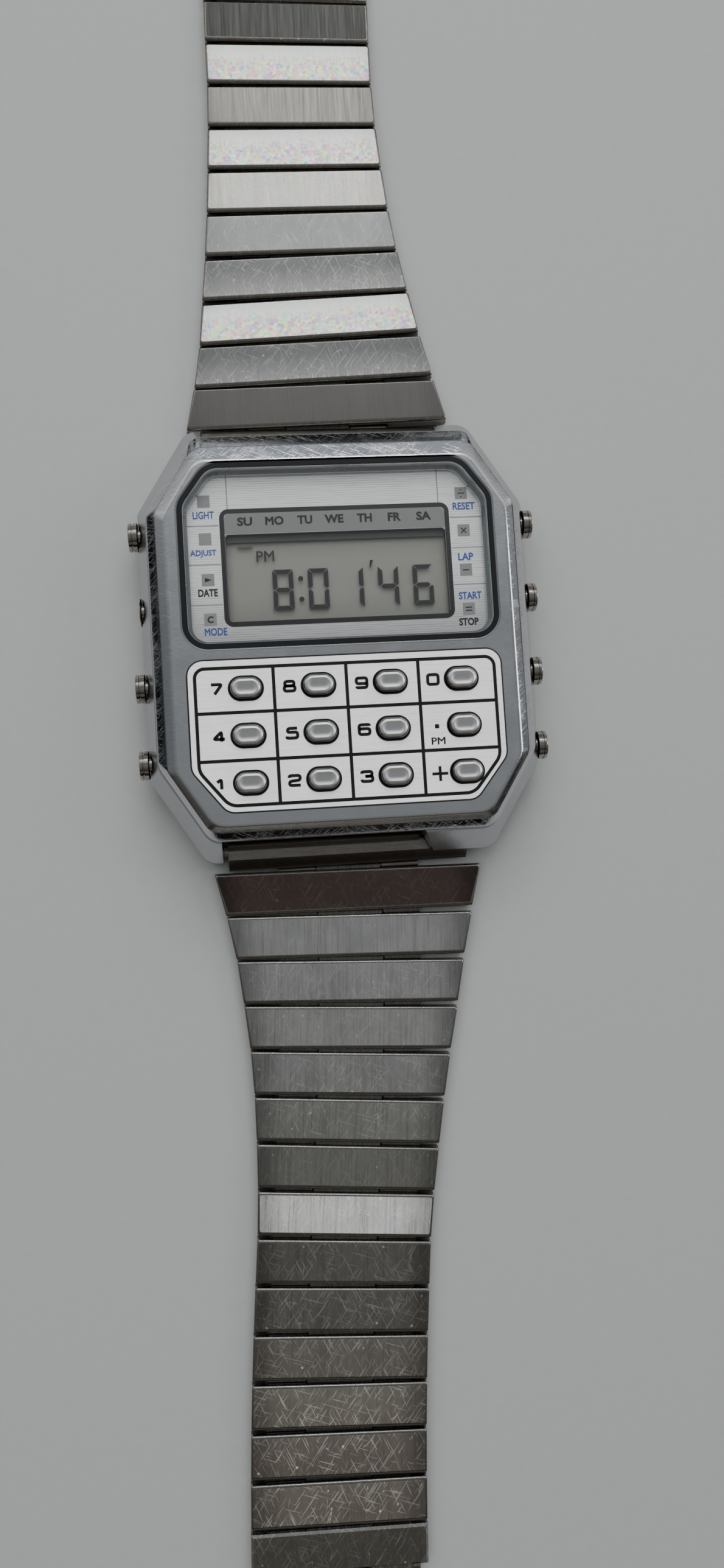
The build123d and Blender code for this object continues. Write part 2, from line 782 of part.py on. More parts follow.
# Cells side by side, and the clamp sheet that holds them against the frame
with BuildPart() as button_cells:
    with BuildSketch(Plane.XY.offset(cell_z + cell_rim)):
        with Locations((0, cell_y)):
            with GridLocations(2 * cell_x, 0, 2, 1):
                Circle(cell_radius)
    extrude(amount=cell_height - cell_rim)
    with BuildSketch(Plane.XY.offset(cell_z)):
        with Locations((0, cell_y)):
            with GridLocations(2 * cell_x, 0, 2, 1):
                Circle(cell_radius - cell_rim_step)
    extrude(amount=cell_rim)
export(button_cells.part, "button_cells")

with BuildPart() as battery_clamp:
    with BuildSketch(Plane.XY.offset(frame_bottom_z - clamp_thickness)):
        with Locations((0, cell_y)):
            Rectangle(
                2 * (cell_x + cell_radius) - 2 * clamp_margin, 2 * (cell_radius + clamp_margin)
            )
            with GridLocations(2 * cell_x, 0, 2, 1):
                Circle(clamp_window_radius, mode=Mode.SUBTRACT)
    extrude(amount=clamp_thickness)
export(battery_clamp.part, "battery_clamp")

# Side contact blades on the frame, one in front of each pusher
with BuildPart() as side_contacts:
    for sign, y in pusher_places:
        with BuildSketch(pusher_plane(sign, y, frame_side)):
            Rectangle(contact_length, contact_height)
        extrude(amount=contact_thickness)
export(side_contacts.part, "side_contacts")

# Pushers with their clips, and the seal rings in the case
pusher_names = (
    ("pusher_light", "pusher_adjust", "pusher_date", "pusher_mode"),
    ("pusher_divide", "pusher_multiply", "pusher_minus", "pusher_equals"),
)
for (sign, y), name in zip(pusher_places, pusher_names[0] + pusher_names[1]):
    proud = pusher_flush_proud if name == "pusher_adjust" else pusher_proud
    travel = pusher_flush_travel if name == "pusher_adjust" else pusher_travel
    head_in = case_side - pusher_head_inside
    tip = frame_side + contact_thickness + travel + sliding_gap
    with BuildPart() as pusher:
        head_length = pusher_head_inside + proud
        extrude(disc(pusher_plane(sign, y, head_in), pusher_head_radius), amount=head_length)
        head_rim = pusher.faces().sort_by(Axis.X)[-1 if sign > 0 else 0].edges()
        chamfer(head_rim, pusher_edge_break)
        if proud > pusher_edge_break + pusher_groove_width:
            groove_at = case_side + proud / 2
            with BuildSketch(pusher_plane(sign, y, groove_at)):
                Circle(pusher_head_radius + cut_overrun)
                Circle(pusher_head_radius - pusher_groove, mode=Mode.SUBTRACT)
            extrude(amount=pusher_groove_width, mode=Mode.SUBTRACT)
        extrude(disc(pusher_plane(sign, y, tip), pusher_stem_radius), amount=head_in - tip)
        clip_at = cavity_wall - clip_gap - clip_thickness
        extrude(disc(pusher_plane(sign, y, clip_at), clip_radius), amount=clip_thickness)
    export(pusher.part, name)

with BuildPart() as pusher_seals:
    for sign, y in pusher_places:
        with BuildSketch(pusher_plane(sign, y, bore_floor - seal_ring_length)):
            Circle(seal_ring_radius)
            Circle(pusher_stem_radius + seal_fit, mode=Mode.SUBTRACT)
        extrude(amount=seal_ring_length)
export(pusher_seals.part, "pusher_seals")

# Spring bars through the lugs
with BuildPart() as spring_bars:
    for sign in (1, -1):
        with BuildSketch(Plane.YZ):
            with Locations((sign * bar_y, bar_z)):
                Circle(bar_radius)
        extrude(amount=recess_side - bar_gap, both=True)
        with BuildSketch(Plane.YZ):
            with Locations((sign * bar_y, bar_z)):
                Circle(bar_tip_radius)
        extrude(amount=recess_side + bar_tip_length, both=True)
export(spring_bars.part, "spring_bars")


def link_plane(x, y, yaw, side):
    """Plane on the table below a hinge, x along its pin and y away from the case."""
    turn = radians(yaw)
    return Plane(origin=(x, y, 0), x_dir=(side * cos(turn), side * sin(turn), 0), z_dir=(0, 0, 1))


def pin_plane(plane, distance):
    """Plane square to a hinge pin: its x runs along the bracelet and its y goes up."""
    across = Plane(origin=plane.origin, x_dir=plane.y_dir, z_dir=plane.x_dir)
    return across.offset(distance)


def half_width(near, far, at):
    """Half the bracelet's width at a distance from a link's first hinge."""
    return (near + (far - near) * at / link_pitch) / 2


def trapezoid(plane, start, end, near, far):
    """Outline of a tapering link between two distances from its first hinge."""
    first = half_width(near, far, start)
    last = half_width(near, far, end)
    with BuildSketch(plane) as sketch:
        with BuildLine():
            Polyline((-first, start), (first, start), (last, end), (-last, end), close=True)
        make_face()
    return sketch.sketch


def side_flanges(plane, start, end, near, far):
    """The two folded edges of a link, seen from above."""
    first = half_width(near, far, start)
    last = half_width(near, far, end)
    with BuildSketch(plane) as sketch:
        for side in (1, -1):
            with BuildLine():
                Polyline(
                    (side * first, start),
                    (side * last, end),
                    (side * (last - flange_thickness), end),
                    (side * (first - flange_thickness), start),
                    close=True,
                )
            make_face()
    return sketch.sketch


def end_lips(plane, places, near, far):
    """Turned-down ends of a link beside its knuckles, each between two distances."""
    inner = outer_knuckle + lip_side_gap
    with BuildSketch(plane.offset(lip_bottom_z)) as sketch:
        for first, last in places:
            for side in (1, -1):
                with BuildLine():
                    Polyline(
                        (side * inner, first),
                        (side * half_width(near, far, first), first),
                        (side * half_width(near, far, last), last),
                        (side * inner, last),
                        close=True,
                    )
                make_face()
    return sketch.sketch


def knuckle_profile(plane, distance, at, direction):
    """Side view of a curled knuckle and the web that joins it to the skin above."""
    underside = link_height - skin_thickness
    with BuildSketch(pin_plane(plane, distance)) as profile:
        with BuildLine():
            Polyline(
                (at, hinge_z - knuckle_web),
                (at + direction * knuckle_reach, hinge_z - knuckle_web),
                (at + direction * knuckle_reach, underside),
                (at + direction * knuckle_radius, underside),
                (at, hinge_z + knuckle_web),
                close=True,
            )
        make_face()
        with Locations((at, hinge_z)):
            Circle(knuckle_radius)
    return profile.sketch


def hole_profile(plane, distance, at, height, radius):
    """Circle about a hinge axis, seen along the pin."""
    with BuildSketch(pin_plane(plane, distance)) as profile:
        with Locations((at, height)):
            Circle(radius)
    return profile.sketch


def make_pin(plane, at, height, radius):
    """Hinge pin across the bracelet."""
    with BuildPart() as pin:
        extrude(hole_profile(plane, 0, at, height, radius), amount=outer_knuckle, both=True)
    return pin.part


def make_link(plane, near, far):
    """Folded sheet link: skin, turned-down edges, one middle knuckle and two outer ones."""
    start = link_gap / 2
    end = link_pitch - link_gap / 2
    underside = link_height - skin_thickness
    outer_length = outer_knuckle - middle_knuckle - knuckle_gap
    with BuildPart() as link:
        extrude(trapezoid(plane.offset(underside), start, end, near, far), amount=skin_thickness)
        chamfer(link.faces().sort_by(Axis.Z)[-1].edges(), skin_edge_break)
        flange_start = start + flange_end_gap
        flange_end = end - flange_end_gap
        extrude(side_flanges(plane, flange_start, flange_end, near, far), amount=underside)
        lips = end_lips(plane, ((start, flange_start), (flange_end, end)), near, far)
        extrude(lips, amount=underside - lip_bottom_z)
        extrude(knuckle_profile(plane, 0, 0, 1), amount=middle_knuckle, both=True)
        for distance in (-outer_knuckle, middle_knuckle + knuckle_gap):
            extrude(knuckle_profile(plane, distance, link_pitch, -1), amount=outer_length)
        running_hole = hole_profile(plane, 0, 0, hinge_z, pin_radius + pin_running_gap)
        extrude(running_hole, amount=middle_knuckle + cut_overrun, both=True, mode=Mode.SUBTRACT)
        tight_hole = hole_profile(plane, 0, link_pitch, hinge_z, pin_radius + pin_press_gap)
        extrude(tight_hole, amount=outer_knuckle + cut_overrun, both=True, mode=Mode.SUBTRACT)
    return link.part


def make_end_link(plane):
    """Solid end link: a barrel on the spring bar, a sloping front and two outer knuckles."""
    bar_at = -end_link_reach
    low = bar_z - end_link_barrel
    half = end_link_width / 2
    outer_length = outer_knuckle - middle_knuckle - knuckle_gap
    with BuildPart() as end_link:
        with BuildSketch(pin_plane(plane, 0)):
            with BuildLine():
                Polyline(
                    (bar_at, bar_z + end_link_barrel),
                    (bar_at + end_link_shoulder, bar_z + end_link_barrel),
                    (-end_link_nose, link_height),
                    (-end_link_nose, low),
                    (bar_at, low),
                    close=True,
                )
            make_face()
            with Locations((bar_at, bar_z)):
                Circle(end_link_barrel)
        extrude(amount=half, both=True)
        for distance in (-outer_knuckle, middle_knuckle + knuckle_gap):
            with BuildSketch(pin_plane(plane, distance)):
                with BuildLine():
                    Polyline(
                        (0, hinge_z - knuckle_web),
                        (-knuckle_reach, hinge_z - knuckle_web),
                        (-knuckle_reach, link_height),
                        (-end_link_nose, link_height - skin_thickness),
                        (0, hinge_z + knuckle_web),
                        close=True,
                    )
                make_face()
                with Locations((0, hinge_z)):
                    Circle(knuckle_radius)
            extrude(amount=outer_length)
        bar_hole = hole_profile(plane, 0, bar_at, bar_z, bar_radius + bar_gap)
        extrude(bar_hole, amount=half + cut_overrun, both=True, mode=Mode.SUBTRACT)
        tight_hole = hole_profile(plane, 0, 0, hinge_z, pin_radius + pin_press_gap)
        extrude(tight_hole, amount=outer_knuckle + cut_overrun, both=True, mode=Mode.SUBTRACT)
    return end_link.part


def width_at(hinge):
    """Bracelet width at a hinge, counted from the case."""
    share = taper_shares[hinge] if hinge < len(taper_shares) else 0
    return band_width + (taper_wide - band_width) * share


def chain_planes(x, y, yaws, side):
    """Planes of all hinges of one bracelet side, each link turned by its own small yaw."""
    planes = []
    for yaw in yaws:
        planes.append(link_plane(x, y, yaw, side))
        x -= side * link_pitch * sin(radians(yaw))
        y += side * link_pitch * cos(radians(yaw))
    return planes


# Both bracelet sides: an end link, then links in pairs, each pair with its two pins
chains = (
    ("upper", upper_hinge_x, upper_yaws, 1),
    ("lower", lower_hinge_x, lower_yaws, -1),
)
clasp_planes = {}
for chain, hinge_x, yaws, side in chains:
    hinge_y = side * (bar_y + end_link_reach)
    end_plane = link_plane(hinge_x, hinge_y, 0, side)
    with BuildPart() as end_link_piece:
        add(make_end_link(end_plane))
        add(make_pin(end_plane, 0, hinge_z, pin_radius))
    export(end_link_piece.part, f"{chain}_end_link")
    planes = chain_planes(hinge_x, hinge_y, yaws, side)
    clasp_planes[chain] = planes[-1]
    for first in range(0, len(yaws) - 1, 2):
        with BuildPart() as pair:
            for place in (first, first + 1):
                add(make_link(planes[place], width_at(place), width_at(place + 1)))
                add(make_pin(planes[place], link_pitch, hinge_z, pin_radius))
        export(pair.part, f"{chain}_links_{first + 1}_{first + 2}")

# Clasp ladder on the 12 o'clock side: a cover skin and a slotted strip
ladder_plane = clasp_planes["upper"]
underside = link_height - skin_thickness
with BuildPart() as clasp_ladder:
    skin_end = link_pitch - link_gap / 2
    skin = trapezoid(
        ladder_plane.offset(underside), link_gap / 2, skin_end, band_width, band_width
    )
    extrude(skin, amount=skin_thickness)
    chamfer(clasp_ladder.faces().sort_by(Axis.Z)[-1].edges(), skin_edge_break)
    edges_start = link_gap / 2 + flange_end_gap
    edges_end = skin_end - flange_end_gap
    extrude(
        side_flanges(ladder_plane, edges_start, edges_end, band_width, band_width),
        amount=underside,
    )
    lips = end_lips(ladder_plane, ((link_gap / 2, edges_start),), band_width, band_width)
    extrude(lips, amount=underside - lip_bottom_z)
    extrude(knuckle_profile(ladder_plane, 0, 0, 1), amount=middle_knuckle, both=True)
    strip_start = knuckle_reach
    with BuildSketch(ladder_plane.offset(underside - ladder_thickness)):
        with Locations((0, (strip_start + ladder_length) / 2)):
            Rectangle(ladder_width, ladder_length - strip_start)
        first_slot = link_pitch + ladder_slot_pitch
        with Locations((0, first_slot + ladder_slot_pitch * (ladder_slots - 1) / 2)):
            with GridLocations(0, ladder_slot_pitch, 1, ladder_slots):
                Rectangle(ladder_slot_width, ladder_slot_length, mode=Mode.SUBTRACT)
    extrude(amount=ladder_thickness)
    running_hole = hole_profile(ladder_plane, 0, 0, hinge_z, pin_radius + pin_running_gap)
    extrude(running_hole, amount=middle_knuckle + cut_overrun, both=True, mode=Mode.SUBTRACT)
export(clasp_ladder.part, "clasp_ladder")

# Clasp frame on the 6 o'clock side: a floor under the lid, joined to a cover skin
frame_plane = clasp_planes["lower"]
floor_width = band_width - 2 * flange_thickness - 2 * clasp_side_gap
lid_web = clasp_knuckle_radius / 2
with BuildPart() as clasp_frame:
    skin_end = clasp_hinge_y - clasp_skin_gap
    skin = trapezoid(
        frame_plane.offset(underside), link_gap / 2, skin_end, band_width, band_width
    )
    extrude(skin, amount=skin_thickness)
    chamfer(clasp_frame.faces().sort_by(Axis.Z)[-1].edges(), skin_edge_break)
    lip_end = link_gap / 2 + flange_end_gap
    lips = end_lips(frame_plane, ((link_gap / 2, lip_end),), band_width, band_width)
    extrude(lips, amount=underside - lip_bottom_z)
    extrude(knuckle_profile(frame_plane, 0, 0, 1), amount=middle_knuckle, both=True)
    with BuildSketch(frame_plane):
        with Locations((0, (clasp_wall_y + clasp_length) / 2)):
            Rectangle(floor_width, clasp_length - clasp_wall_y)
    extrude(amount=clasp_floor)
    with BuildSketch(frame_plane.offset(clasp_floor)):
        with Locations((0, clasp_wall_y + clasp_wall / 2)):
            Rectangle(floor_width, clasp_wall)
    extrude(amount=underside - clasp_floor)
    outer_length = outer_knuckle - middle_knuckle - knuckle_gap
    for distance in (-outer_knuckle, middle_knuckle + knuckle_gap):
        with BuildSketch(pin_plane(frame_plane, distance)):
            with Locations((clasp_hinge_y, clasp_hinge_z)):
                Circle(clasp_knuckle_radius)
            with Locations((clasp_hinge_y - clasp_skin_gap / 2, clasp_hinge_z + lid_web / 2)):
                Rectangle(clasp_skin_gap + 2 * skin_edge_break, lid_web)
        extrude(amount=outer_length)
    running_hole = hole_profile(frame_plane, 0, 0, hinge_z, pin_radius + pin_running_gap)
    extrude(running_hole, amount=middle_knuckle + cut_overrun, both=True, mode=Mode.SUBTRACT)
    lid_hole = hole_profile(
        frame_plane, 0, clasp_hinge_y, clasp_hinge_z, clasp_pin_radius + pin_press_gap
    )
    extrude(lid_hole, amount=outer_knuckle + cut_overrun, both=True, mode=Mode.SUBTRACT)
with BuildPart() as clasp_frame_set:
    add(clasp_frame.part)
    add(make_pin(frame_plane, clasp_hinge_y, clasp_hinge_z, clasp_pin_radius))
export(clasp_frame_set.part, "clasp_frame")

# Fold-over lid with a cross bar that drops into a ladder slot
with BuildPart() as clasp_cover:
    skin_start = clasp_hinge_y + clasp_skin_gap
    skin = trapezoid(
        frame_plane.offset(underside), skin_start, clasp_length, band_width, band_width
    )
    extrude(skin, amount=skin_thickness)
    chamfer(clasp_cover.faces().sort_by(Axis.Z)[-1].edges(), skin_edge_break)
    lid_edges = side_flanges(
        frame_plane.offset(sliding_gap),
        skin_start + flange_end_gap,
        clasp_length,
        band_width,
        band_width,
    )
    extrude(lid_edges, amount=underside - sliding_gap)
    with BuildSketch(frame_plane.offset(clasp_floor + 2 * sliding_gap)):
        with Locations((0, clasp_hook_y)):
            Rectangle(ladder_slot_width - 2 * clasp_side_gap, clasp_hook_length)
    extrude(amount=underside - clasp_floor - 2 * sliding_gap)
    with BuildSketch(pin_plane(frame_plane, 0)):
        with Locations((clasp_hinge_y, clasp_hinge_z)):
            Circle(clasp_knuckle_radius)
        with Locations((clasp_hinge_y + clasp_skin_gap / 2, clasp_hinge_z + lid_web / 2)):
            Rectangle(clasp_skin_gap + 2 * skin_edge_break, lid_web)
    extrude(amount=middle_knuckle, both=True)
    lid_hole = hole_profile(
        frame_plane, 0, clasp_hinge_y, clasp_hinge_z, clasp_pin_radius + pin_running_gap
    )
    extrude(lid_hole, amount=middle_knuckle + cut_overrun, both=True, mode=Mode.SUBTRACT)
export(clasp_cover.part, "clasp_cover")
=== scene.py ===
"""Looks of a calculator wristwatch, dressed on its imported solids.

Sizes are millimetres in the row frame: the origin is the middle of the case back's flat face,
+Z goes up through the dial and +Y points to the 12 o'clock end. Meshes are written in metres.
"""

import logging
import math
from dataclasses import dataclass, field
from enum import Enum
from functools import partial, reduce
from typing import Any, Callable, Iterable, Sequence

import bmesh
import bpy
import numpy as np
from mathutils import Matrix, Vector
from mathutils.geometry import tessellate_polygon

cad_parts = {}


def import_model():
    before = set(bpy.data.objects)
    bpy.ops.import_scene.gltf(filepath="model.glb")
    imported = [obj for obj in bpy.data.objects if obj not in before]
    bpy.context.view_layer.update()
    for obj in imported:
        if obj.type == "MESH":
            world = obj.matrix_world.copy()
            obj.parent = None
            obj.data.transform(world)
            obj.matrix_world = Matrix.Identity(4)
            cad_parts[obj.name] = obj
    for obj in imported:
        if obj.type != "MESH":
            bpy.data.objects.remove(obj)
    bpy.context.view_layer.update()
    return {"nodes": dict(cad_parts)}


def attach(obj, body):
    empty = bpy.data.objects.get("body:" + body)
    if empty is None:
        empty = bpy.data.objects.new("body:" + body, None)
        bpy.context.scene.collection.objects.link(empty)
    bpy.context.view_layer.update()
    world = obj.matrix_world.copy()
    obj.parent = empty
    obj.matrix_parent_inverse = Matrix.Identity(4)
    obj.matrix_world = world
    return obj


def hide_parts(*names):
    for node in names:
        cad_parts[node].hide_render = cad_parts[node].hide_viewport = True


MM = 0.001
PER_MM = 1000.0
MERGE = 2e-7
TINY = 1e-9
Array = np.ndarray
Point = tuple[float, float]
Add = Callable[..., bpy.types.Node]
Wires = dict[Any, Any]
Stops = Sequence[tuple[float, float | str]]

# Inputs A and B of a colour mix, and its two settings
MIX_A, MIX_B = 6, 7
BLEND = {"data_type": "RGBA"}
MULTIPLY = {"data_type": "RGBA", "blend_type": "MULTIPLY"}

log = logging.getLogger("watch")


# ---------------------------------------------------------------- colours and nodes
def linear(code: str) -> tuple[float, float, float, float]:
    """Turns an sRGB hex colour into linear RGBA.

    Args:
        code: six hex digits.
    Returns:
        Linear red, green, blue and an alpha of 1.
    """
    parts = [int(code[i:i + 2], 16) / 255 for i in (0, 2, 4)]
    red, green, blue = (p / 12.92 if p <= 0.04045 else ((p + 0.055) / 1.055) ** 2.4
                        for p in parts)
    return (red, green, blue, 1.0)


def feed(tree: bpy.types.NodeTree, socket: bpy.types.NodeSocket, value: Any) -> None:
    """Gives an input its constant or its link.

    Args:
        tree: the node tree.
        socket: the input.
        value: a node (its first live output is used), a socket, a hex colour or a constant.
    """
    if isinstance(value, bpy.types.Node):
        value = next(output for output in value.outputs if output.enabled)
    if isinstance(value, bpy.types.NodeSocket):
        tree.links.new(value, socket)
    else:
        socket.default_value = linear(value) if isinstance(value, str) else value


def add_node(tree: bpy.types.NodeTree, kind: str, inputs: Wires | None = None,
             stops: Stops = (), **settings: Any) -> bpy.types.Node:
    """Adds one node with its settings and links.

    Args:
        tree: the node tree it goes into.
        kind: Blender's node type, without its first word.
        inputs: input name or number to what feeds it.
        stops: a colour ramp's places from 0 to 1, each with a grey value or a hex colour.
        settings: the node's own properties.
    Returns:
        The node.
    """
    made = tree.nodes.new(f"ShaderNode{kind}")
    for key, value in settings.items():
        setattr(made, key, value)
    for key, value in (inputs or {}).items():
        feed(tree, made.inputs[key], value)
    if stops:
        band = made.color_ramp.elements
        while len(band) < len(stops):
            band.new(0.5)
        for item, (place, tone) in zip(band, stops):
            item.position = place
            item.color = linear(tone) if isinstance(tone, str) else (tone, tone, tone, 1.0)
    return made


class Finish:
    """One surface finish. A subclass is a frozen dataclass that lays its own pattern."""

    name: str
    colour: str
    metallic: float
    roughness: float

    def material(self) -> bpy.types.Material:
        """Builds the material once.

        Returns:
            The material, the same one at each call.
        """
        made = bpy.data.materials.get(self.name)
        if made is None:
            made = bpy.data.materials.new(self.name)
            made.use_nodes = True
            tree = made.node_tree
            add = partial(add_node, tree)
            place = add("TexCoord").outputs["Object"]
            mm = add("VectorMath", {0: place, "Scale": PER_MM}, operation="SCALE")
            wires = {"Base Color": self.colour, "Metallic": self.metallic,
                     "Roughness": self.roughness, **self.pattern(add, mm)}
            for key, value in wires.items():
                feed(tree, tree.nodes["Principled BSDF"].inputs[key], value)
        return made

    def pattern(self, add: Add, mm: bpy.types.Node) -> Wires:
        """Lays the finish's pattern.

        Args:
            add: adds a node to this material's tree.
            mm: the object's own place in millimetres.
        Returns:
            What feeds the shader's inputs, by their names.
        """
        raise NotImplementedError


def scores(add: Add, mm: bpy.types.Node, turn: float, cut: float,
           strength: float = 1.0) -> bpy.types.Node:
    """Long thin score marks: the crests of a noise stretched along one direction.

    Args:
        add: adds a node.
        mm: the place in millimetres.
        turn: direction of the marks, in radians from X.
        cut: noise value past which a crest shows; more of it gives fewer marks.
        strength: brightness of a mark.
    Returns:
        The node whose colour is the marks.
    """
    length, width, rise = 2.4, 0.11, 0.05
    placed = add("Mapping", {0: mm, "Rotation": (0, 0, turn),
                             "Scale": (length, width, length)}, vector_type="TEXTURE")
    crests = add("TexNoise", {"Vector": placed, "Scale": 1.0, "Detail": 1.0})
    return add("ValToRGB", {0: crests}, ((cut, 0.0), (cut + rise, strength)))


def overlaid(add: Add, marks: Sequence[bpy.types.Node]) -> bpy.types.Node:
    """Lays mark patterns over one another, so that the brightest shows."""
    return reduce(lambda a, b: add("Math", {0: a, 1: b}, operation="MAXIMUM"), marks)


@dataclass(frozen=True)
class BrushedSteel(Finish):
    """Stainless steel or aluminium, brushed along one direction and worn by use.

    Brushing gives a streaky tone; a painted highlight brightens the end nearest the case,
    where the plate is rolled; speckle paints the highlight as coloured glints; scratches are
    short arcs and lines that scatter the light, so they show bright where the plate mirrors
    a dark room; the plate's two ends can be painted darker as shade.
    """

    name: str
    colour: str = "B4B3AF"
    metallic: float = 1.0
    roughness: float = 0.3
    grain: float = 0.13
    run: float = 5.0
    turn: float = 0.0
    depth: float = 0.75
    bump: float = 0.12
    cloud: float = 2.857
    scratches: float = 0.35
    dulled: float = 0.32
    arc_marks: tuple[tuple[float, float, float], ...] = ((1.6667, -0.75, 0.55),
                                                         (1.25, -0.4, 0.57))
    score_marks: tuple[Point, ...] = ((0.9, 0.64), (-0.35, 0.66), (2.0, 0.65))
    ding: float = 1.6667
    painted_highlight: float = 0.0
    speckle: float = 0.0
    grit: float = 0.2941
    ends: float = 0.0
    end_fade: float = 3.0
    middle: Point = (0.0, 0.0)
    across: Point = (1.0, 0.0)
    half: float = 10.0

    def painted_end_shade(self, add: Add, mm: bpy.types.Node, colour: bpy.types.Node) -> bpy.types.Node:
        """Paints a plate's two ends darker, as shade where the sheet bends away: by |(p - m) .
        across|.

        Args:
            add: adds a node.
            mm: the place in millimetres.
            colour: the plate's colour so far.
        Returns:
            The node with the darkened colour.
        """
        moved = add("VectorMath", {0: mm, 1: (*self.middle, 0.0)}, operation="SUBTRACT")
        along = add("VectorMath", {0: moved, 1: (*self.across, 0.0)},
                    operation="DOT_PRODUCT")
        away = add("Math", {0: along}, operation="ABSOLUTE")
        shade = add("MapRange", {0: away, 1: self.half - self.end_fade, 2: self.half, 3: 1.0,
                                 4: 1.0 - self.ends}, interpolation_type="SMOOTHSTEP")
        return add("Mix", {0: 1.0, MIX_A: colour, MIX_B: shade}, **MULTIPLY)

    def arcs(self, add: Add, mm: bpy.types.Node, size: float, turn: float,
             cut: float) -> bpy.types.Node:
        """Thin broken arcs: the contour lines of a slow noise, under a patchy mask.

        Args:
            add: adds a node.
            mm: the place in millimetres.
            size: width of the noise's lumps, which are five times as long.
            turn: their direction, in radians.
            cut: mask value past which arcs show; more of it gives fewer arcs.
        Returns:
            The node whose value is the arcs.
        """
        stretch, contour, thin, patch, rise = 5, 0.06, 0.0045, 2.7, 0.12
        placed = add("Mapping", {0: mm, "Rotation": (0, 0, turn),
                                 "Scale": (size, stretch * size, size)},
                     vector_type="TEXTURE")
        waves = add("TexNoise", {"Vector": placed, "Scale": 1.0, "Detail": 0.0})
        away = add("Math", {0: waves, 1: contour}, operation="PINGPONG")
        line = add("ValToRGB", {0: away}, ((0.0, 1.0), (thin, 0.0)))
        mask = add("TexNoise", {"Vector": placed, "Scale": patch, "Detail": 1.0})
        allow = add("ValToRGB", {0: mask}, ((cut, 0.0), (cut + rise, 1.0)))
        return add("Math", {0: line, 1: allow}, operation="MULTIPLY")

    def sparkle(self, add: Add, mm: bpy.types.Node, along: bpy.types.NodeSocket,
                drift: bpy.types.Node, wires: Wires) -> None:
        """Paints the highlight as coloured glints, with a painted cool reflection at the
        plate's far end.

        Args:
            add: adds a node.
            mm: the place in millimetres.
            along: the share of the way from the plate's near edge to its far one.
            drift: the same, made uneven by the brushing.
            wires: the shader's inputs so far; its colour and normal are changed.
        """
        grains = add("TexVoronoi", {"Vector": mm, "Scale": 1 / self.grit})
        allow = add("ValToRGB", {0: drift}, ((0.75, self.speckle), (1.0, 0.15)))
        pastel = add("Mix", {0: 0.35, MIX_A: grains.outputs["Color"], MIX_B: "FFFFFF"},
                     **BLEND)
        grainy = add("Mix", {0: allow, MIX_A: wires["Base Color"], MIX_B: pastel},
                     **MULTIPLY)
        # Painted reflection: a cooler tint towards the plate's far end
        cool = add("ValToRGB", {0: along}, ((0.45, "FFFFFF"), (1.0, "C3CACF")))
        wires["Base Color"] = add("Mix", {0: self.speckle, MIX_A: grainy, MIX_B: cool},
                                  **MULTIPLY)
        wires["Normal"] = add("Bump", {
            "Strength": allow, "Distance": 0.03 * MM, "Height": grains.outputs["Distance"],
            "Normal": wires["Normal"]})

    def pattern(self, add: Add, mm: bpy.types.Node) -> Wires:
        """Streaks from noise stretched along the brushing, then glow, marks and grains.

        Args:
            add: adds a node to this material's tree.
            mm: the object's own place in millimetres.
        Returns:
            What feeds the shader's inputs, by their names.
        """
        turned = add("Mapping", {0: mm, "Rotation": (0, 0, math.radians(self.turn)),
                                 "Scale": (self.grain, self.run, self.grain)},
                     vector_type="TEXTURE")
        streak = add("TexNoise", {"Vector": turned, "Scale": 1.0, "Detail": 3.0,
                                  "Roughness": 0.65})
        tone = add("ValToRGB", {0: streak}, ((0.28, 0.45), (0.5, 0.86), (0.72, 1.0)))
        cloud = add("TexNoise", {"Vector": mm, "Scale": 1 / self.cloud, "Detail": 2.0,
                                 "Roughness": 0.5})
        shade = add("ValToRGB", {0: cloud}, ((0.3, 0.78), (0.7, 1.0)))
        both = add("Mix", {0: 1.0, MIX_A: tone, MIX_B: shade}, **MULTIPLY)
        colour = add("Mix", {0: self.depth, MIX_A: self.colour, MIX_B: both}, **MULTIPLY)
        along = add("Attribute", attribute_name="along").outputs["Fac"]
        drift = add("Math", {0: streak, 1: 0.5, 2: along}, operation="MULTIPLY_ADD")
        # Painted highlight along the rolled edge nearest the case
        near = add("ValToRGB", {0: drift}, ((0.27, 1.0), (0.38, 0.45), (0.7, 0.2),
                                            (1.0, 0.0)))
        highlight_share = add("Math", {0: near, 1: self.painted_highlight}, operation="MULTIPLY")
        dings = add("TexVoronoi", {"Vector": mm, "Scale": 1 / self.ding})
        marks = overlaid(add, [
            *(self.arcs(add, mm, *arc) for arc in self.arc_marks),
            *(scores(add, mm, turn, cut, 0.5) for turn, cut in self.score_marks),
            add("ValToRGB", {0: dings}, ((0.05, 1.0), (0.085, 0.0)))])
        # Scratches and the painted highlight both lighten the colour
        worn = add("Math", {0: marks, 1: self.scratches, 2: highlight_share},
                   operation="MULTIPLY_ADD", use_clamp=True)
        colour = add("Mix", {0: worn, MIX_A: colour, MIX_B: "FBFAF4"}, **BLEND)
        # Painted shade at the plate's two ends
        if self.ends > 0:
            colour = self.painted_end_shade(add, mm, colour)
        wires = {
            "Base Color": colour,
            "Metallic": add("MapRange", {
                0: marks, 3: self.metallic,
                4: self.metallic * (1 - self.scratches * self.dulled)}),
            "Roughness": add("MapRange", {0: streak, 1: 0.3, 2: 0.7,
                                          3: self.roughness + 0.08,
                                          4: self.roughness - 0.05}),
            "Normal": add("Bump", {"Strength": self.bump, "Distance": 0.02 * MM,
                                   "Height": streak})}
        if self.speckle > 0:
            self.sparkle(add, mm, along, drift, wires)
        return wires


